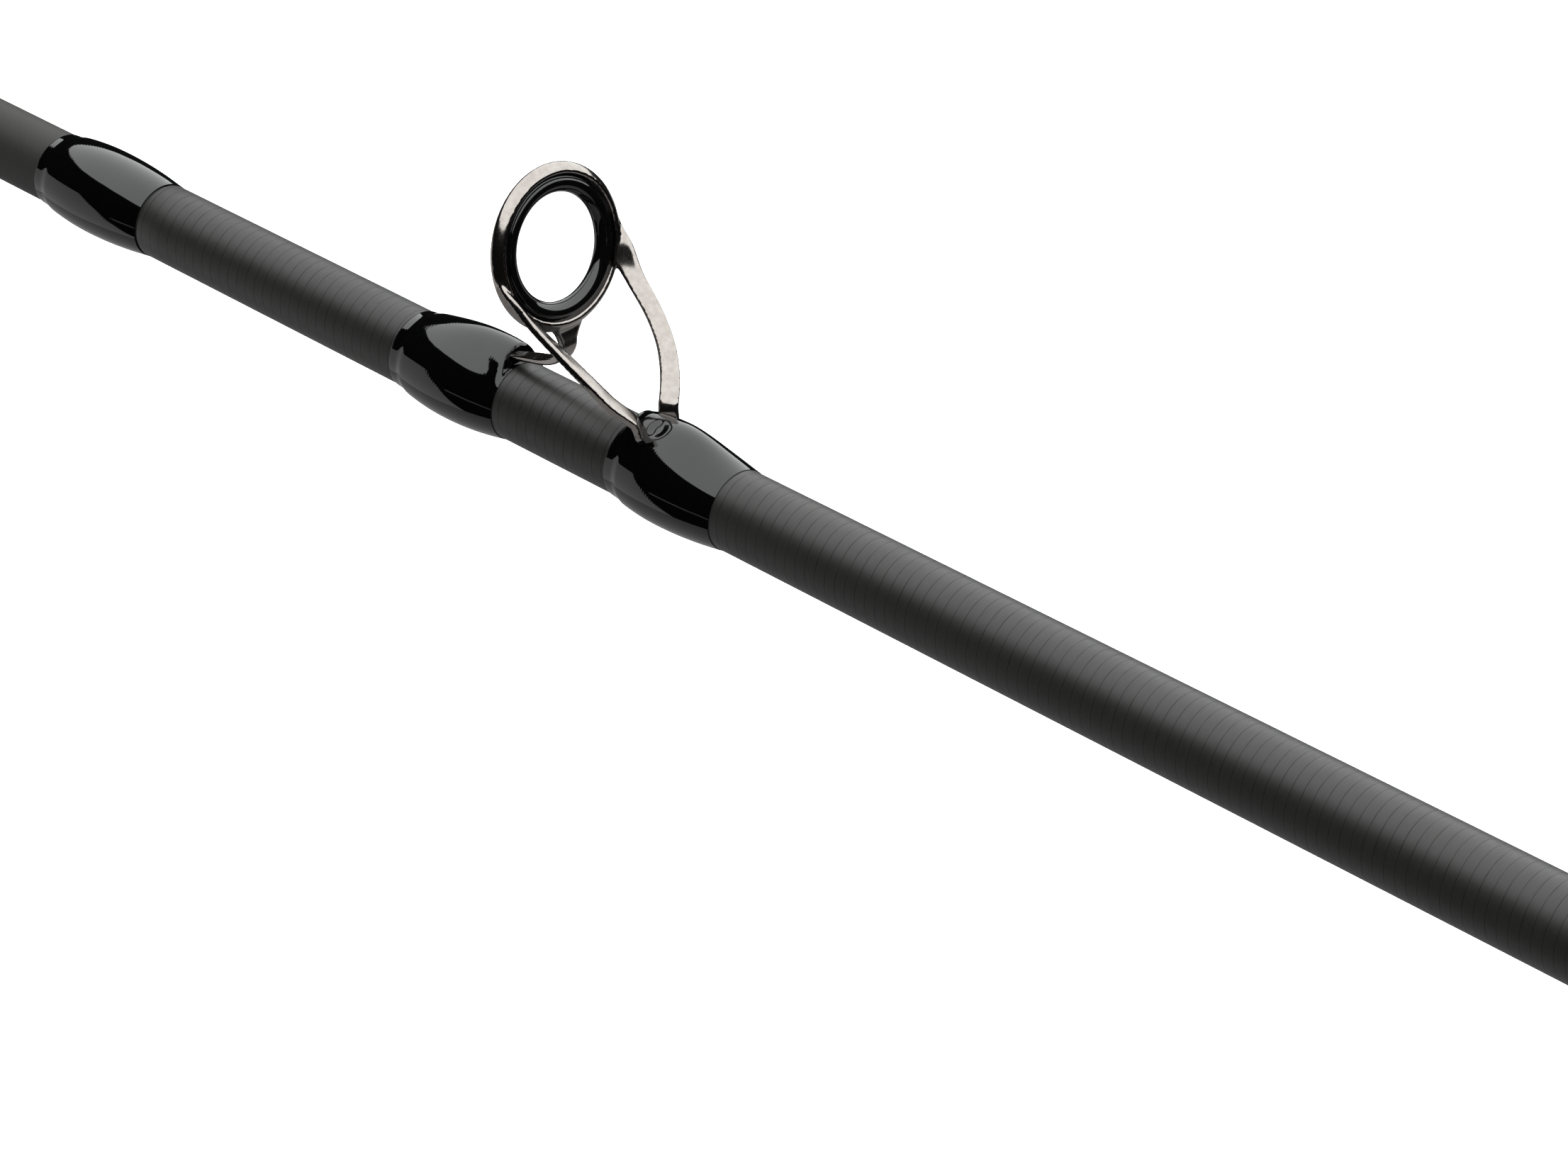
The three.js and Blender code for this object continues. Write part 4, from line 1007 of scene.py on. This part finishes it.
def build_crank():
    """The star drag, the double crank arm with its nut, and the two knobs."""
    place = about_y("drive_shaft")
    centre = middle("drive_shaft")
    low, high = box("star_drag")

    def star_reach(angle):
        turn = abs((math.degrees(angle) + 36) % 72 - 36)
        return 7.4 + 9.2 * (1 - smoothstep((turn - 5) / 25)) - 0.25 * smoothstep((turn - 2) / 6)

    rim = [2 * math.pi * k / 240 for k in range(240)]
    star = [(centre.x + star_reach(a) * math.cos(a), centre.z + star_reach(a) * math.sin(a)) for a in rim]
    hub = [*past(low.y, (0, 0), (0, 5.6, 0.3), (0.8, 5.8, 0.4)),
           *past(high.y, (-3, 5.8, 0.4), (-1.6, 5.8, 0.5), (0, 5.2, 0.6), (0, 0))]
    hub = turned(rounded(hub, False), 96, place)
    star = merged(slab(star, high.y - 2.8, high.y - 0.5, 0.7), hub)
    piece("star_drag", star, "star_drag", BRIGHT_METAL)

    front, rear = middle("front_crank_knob"), middle("rear_crank_knob")
    turn = math.atan2(rear.z - front.z, rear.x - front.x)
    reach = (rear.xz - front.xz).length / 2
    low, high = box("crank_arm")
    side = curve([(-reach, 5), (-reach + 3.5, 4.4), (-24, 3.4), (-14, 3.1), (-7, 6), (0, 7), (7, 6),
                  (14, 3.1), (24, 3.4), (reach - 3.5, 4.4), (reach, 5)], 5)
    ends = [math.pi * k / 12 for k in range(1, 12)]
    right = [(reach + 5 * math.sin(a), 5 * math.cos(a)) for a in ends]
    loop = [*side, *right, *[(x, -z) for x, z in reversed(side)], *[(-x, -z) for x, z in right]]
    spin = Matrix.Rotation(turn, 2)
    loop = [centre.xz + spin @ Vector(p) for p in loop]
    parts = [slab(loop, low.y, low.y + 2.6, 0.5)]
    for end in (front, rear):
        pin = [*past(low.y, (2, 0), (2, 3.2), (3, 3.0, 0.3), (3.1, 1.6, 0.1)), (high.y, 1.6, 0.2),
               (high.y, 0)]
        at = Matrix.Translation((end.x, 0, end.z)) @ ALONG_Y
        parts.append(turned(rounded(pin, False, 3), 32, at))
    piece("crank_arm", merged(*parts), "crank", BRIGHT_METAL)

    low, high = box("crank_nut")
    nut = [(low.y, 0), (low.y, 5), (high.y - 1.4, 5), (high.y, 3.7), (high.y, 0)]
    nut = loose("crank_nut_fine", turned(nut, 6, place))
    ease = nut.modifiers.new("eased", "BEVEL")
    ease.width = 0.35 * MM
    ease.segments = 4
    piece("crank_nut", baked(nut), "crank", BRIGHT_METAL)

    def fingers(y, radius, angle):
        first, last = FINGERS
        reach = smoothstep((y - first) / 3) * smoothstep((last - y) / 3)
        return radius - 0.3 * reach * (1 + math.cos(6 * angle)) if radius > 4.5 else radius

    for name in ("front", "rear"):
        node = f"{name}_crank_knob"
        low, high = box(node)
        knob = [*past(low.y, (0, 0), (0, 5.2, 0.5), (1.4, 6.15, 0.7), (3.4, 6.0, 1), (8, 5.2, 4),
                      (15.3, 7.15, 3.5)),
                *past(high.y, (-2.2, 6.75, 1.4), (-0.2, 4.6, 0.7), (0, 3.9, 0.15), (-0.5, 3.7, 0.1),
                      (-0.6, 0))]
        lathe(node, knob, f"{name}_knob", KNOB_PLASTIC, about_y(node), 96, relief=fingers, step=0.7)


def build_level_wind():
    """The worm with its crossed grooves, the bar beside it and the line guide that runs on both."""
    place = about_y("worm_shaft")

    def grooves(y, radius, angle):
        if abs(y) > WORM_HALF or radius < 2.2:
            return radius
        turn = 2 * math.pi * y / WORM_PITCH
        cut = max(math.cos(turn + angle), math.cos(turn - angle))
        return radius - 0.55 * smoothstep((cut - 0.72) / 0.12)

    low, high = box("worm_shaft")
    worm = [(low.y, 0), (low.y, 1.55, 0.2), (-15.8, 1.55), (-15.4, 2.5, 0.2), (15.4, 2.5, 0.2),
            (15.8, 1.55), (high.y, 1.55, 0.2), (high.y, 0)]
    lathe("worm_shaft", worm, "worm", STEEL, place, 64, relief=grooves, step=0.3)
    low, high = box("level_wind_bar")
    rail = [(low.y, 0), (low.y, 1.25, 0.3), (high.y, 1.25, 0.3), (high.y, 0)]
    lathe("level_wind_bar", rail, "rod", STEEL, about_y("level_wind_bar"), 48)

    bar, axis = middle("level_wind_bar"), middle("worm_shaft")
    top = box("line_guide")[1].z
    barrel = rounded(mirrored([(-3.95, 0), (-3.95, 3.2), (-3.4, 3.6, 0.4)]), False)
    shoe = mirrored([(-3.95, 0), (-3.95, 2.7), (-3.5, 2.95)])
    web = [(axis.x - 3.4, axis.z), (axis.x + 2.6, axis.z + 0.6), (bar.x + 2.6, bar.z),
           (bar.x + 1.6, bar.z + 3.4), (bar.x - 1.8, bar.z + 3.4), (bar.x - 2.8, bar.z)]
    eye = rounded(mirrored([(-1.9, 3.5, 0.6), (-1.9, 4.9, 0.7)]), True, 5)
    parts = [turned(barrel, 64, place), turned(shoe, 64, about_y("level_wind_bar")),
             slab(web, -3.1, 3.1, 0.5), turned(eye, 64, Matrix.Translation((bar.x, 0, top - 5)))]
    made = melted(loose("line_guide_fine", merged(*parts)), 0.24, 3)
    piece("line_guide", made, "line_guide", BRIGHT_METAL, sharp=0)


def build_thumb_bar():
    """The bar that frees the spool, with seven ribs for the thumb."""
    centre = middle("spool")
    low, high = box("thumb_bar")
    thumb = [(18.8, 3.2, 0.5), (18.6, 6, 1.0), (21.5, 7.2, 1.8), (25.2, 5.2, 1.2), (25.6, 2.6, 0.7)]
    parts = [slab([centre.xz + p for p in rounded(thumb, True, 5)], low.y, high.y, 0.6)]
    place = Matrix.Translation((centre.x + 22.2, 0, centre.z + 6.35)) @ ALONG_Y
    for i in range(-3, 4):
        at = i * 1.8
        crest = [(at + 0.35 * math.sin(a), 0.32 * math.cos(a)) for a in (-1.2, -0.6, 0, 0.6, 1.2)]
        parts.append(turned([(at - 0.35, 0), *crest, (at + 0.35, 0)], 24, place))
    piece("thumb_bar", merged(*parts), "thumb_bar", SEAT_PLASTIC)


def build_reel():
    """The reel's fine pieces, and the parts inside it, whose CAD meshes are fine enough."""
    build_reel_frame()
    build_covers()
    build_spool()
    build_crank()
    build_level_wind()
    build_thumb_bar()
    for node in ("spool_shaft", "drive_shaft", "left_bearing", "right_bearing", "drag_plate"):
        dressed(node, STEEL)
    for node in ("drive_gear", "pinion_gear"):
        dressed(node, BRASS, 0.08)
    dressed("worm_gear", SEAT_PLASTIC, 0.08)
    dressed("drag_washer", FRICTION)


# ---- studio ----


def glow(name, place, ahead, across, corners, radiance, tint=(1, 1, 1)):
    """A flat light with this outline, which the camera doesn't see: its corners lie at these distances
    along two directions from a place."""
    panel = bmesh.new()
    panel.faces.new([panel.verts.new(place + ahead * u + across * v) for u, v in corners])
    made = object_of(name, panel)
    look = Look(name, Base_Color=rgb(0, 0, 0), Roughness=1.0, IOR=1.0, Emission_Color=rgb(*tint),
                Emission_Strength=radiance)
    made.data.materials.append(look.material)
    made.visible_camera = False
    made.visible_shadow = False


def build_studio(target):
    """White paper for the camera, and a dim room with a softbox and pale boards for the reflections."""
    world = bpy.data.worlds.new("studio")
    bpy.context.scene.world = world
    world.use_nodes = True
    tree = world.node_tree
    path = tree.nodes.new("ShaderNodeLightPath")
    room = tree.nodes.new("ShaderNodeBackground")
    room.inputs["Color"].default_value = rgb(0.01, 0.01, 0.0105)
    paper = tree.nodes.new("ShaderNodeBackground")
    paper.inputs["Color"].default_value = rgb(1, 1, 1)
    mix = tree.nodes.new("ShaderNodeMixShader")
    tree.links.new(path.outputs["Is Camera Ray"], mix.inputs["Fac"])
    tree.links.new(room.outputs[0], mix.inputs[1])
    tree.links.new(paper.outputs[0], mix.inputs[2])
    tree.links.new(mix.outputs[0], tree.nodes["World Output"].inputs["Surface"])

    # The overhead softbox lies along the rod and its far left corner is cut off.
    out, across = Vector((0, 0.29, 0.957)), Vector((0, -0.957, 0.29))
    corners = [(1.6, 1.96), (-0.9, 1.96), (-1.22, 1.55), (-1.42, 0.98), (-1.45, -0.3), (-1.85, -2.6),
               (1.6, -2.6)]
    glow("overhead", target + out, Vector((1, 0, 0)), across, corners, 2.65, (0.98, 1.0, 0.99))
    # Pale boards: one stands to the camera's left, one lies below, and a dim strip shows between them.
    left, forward, up = Vector((-0.7206, -0.6934, 0)), Vector((-0.6934, 0.7206, 0)), Vector((0, 0, 1))
    corners = [(-0.04, 0.07), (3.5, 0.07), (3.5, -1), (-0.14, -1), (-0.14, -0.3)]
    glow("left_board", target + left * 1.19, forward, up, corners, 0.78)
    glow("lower_board", target - up, forward, left, [(-3, 1.19), (3, 1.19), (3, -1.5), (-3, -1.5)], 0.42)
    corners = [(-0.2, -0.25), (-0.2, -0.3), (-0.6, -0.34), (-0.6, -0.29)]
    glow("strip", target + left * 1.1, forward, up, corners, 0.5)

    sheet = bmesh.new()
    bmesh.ops.create_grid(sheet, x_segments=1, y_segments=1, size=30)
    floor = object_of("floor", sheet)
    floor.location = (0, 0, -0.6)
    look = Look("floor", Roughness=1.0, Base_Color=rgb(0.9, 0.9, 0.9), Emission_Color=rgb(1, 1, 1),
                Emission_Strength=1.0)
    floor.data.materials.append(look.material)
    for ray in ("visible_diffuse", "visible_glossy", "visible_transmission", "visible_shadow"):
        setattr(floor, ray, False)


def build_camera(target):
    """A long lens beside and above the rod, towards its butt end. stand leads from the target to the
    camera, and back is the direction that its back points to."""
    stand, back = Vector((0.6327, -0.6137, 0.5241)), Vector((0.5878, -0.6109, 0.53))
    data = bpy.data.cameras.new("camera")
    data.sensor_width = 36
    data.lens = 176.95
    data.clip_end = 100
    made = bpy.data.objects.new("camera", data)
    made.location = target + stand
    made.rotation_mode = "QUATERNION"
    made.rotation_quaternion = back.to_track_quat("Z", "Y")
    bpy.context.scene.collection.objects.link(made)
    bpy.context.scene.camera = made


TARGET = Vector((-0.8378, 0, 0))  # metres: the part of the rod that the photograph shows
build_camera(TARGET)
build_studio(TARGET)
build_blank()
wrap("ferrule_wrap", "tip_section", 0.95, 0.45)
build_guides()
build_tip_top()
build_keeper()
build_handle()
build_reel()

bpy.context.scene.view_settings.view_transform = "Standard"
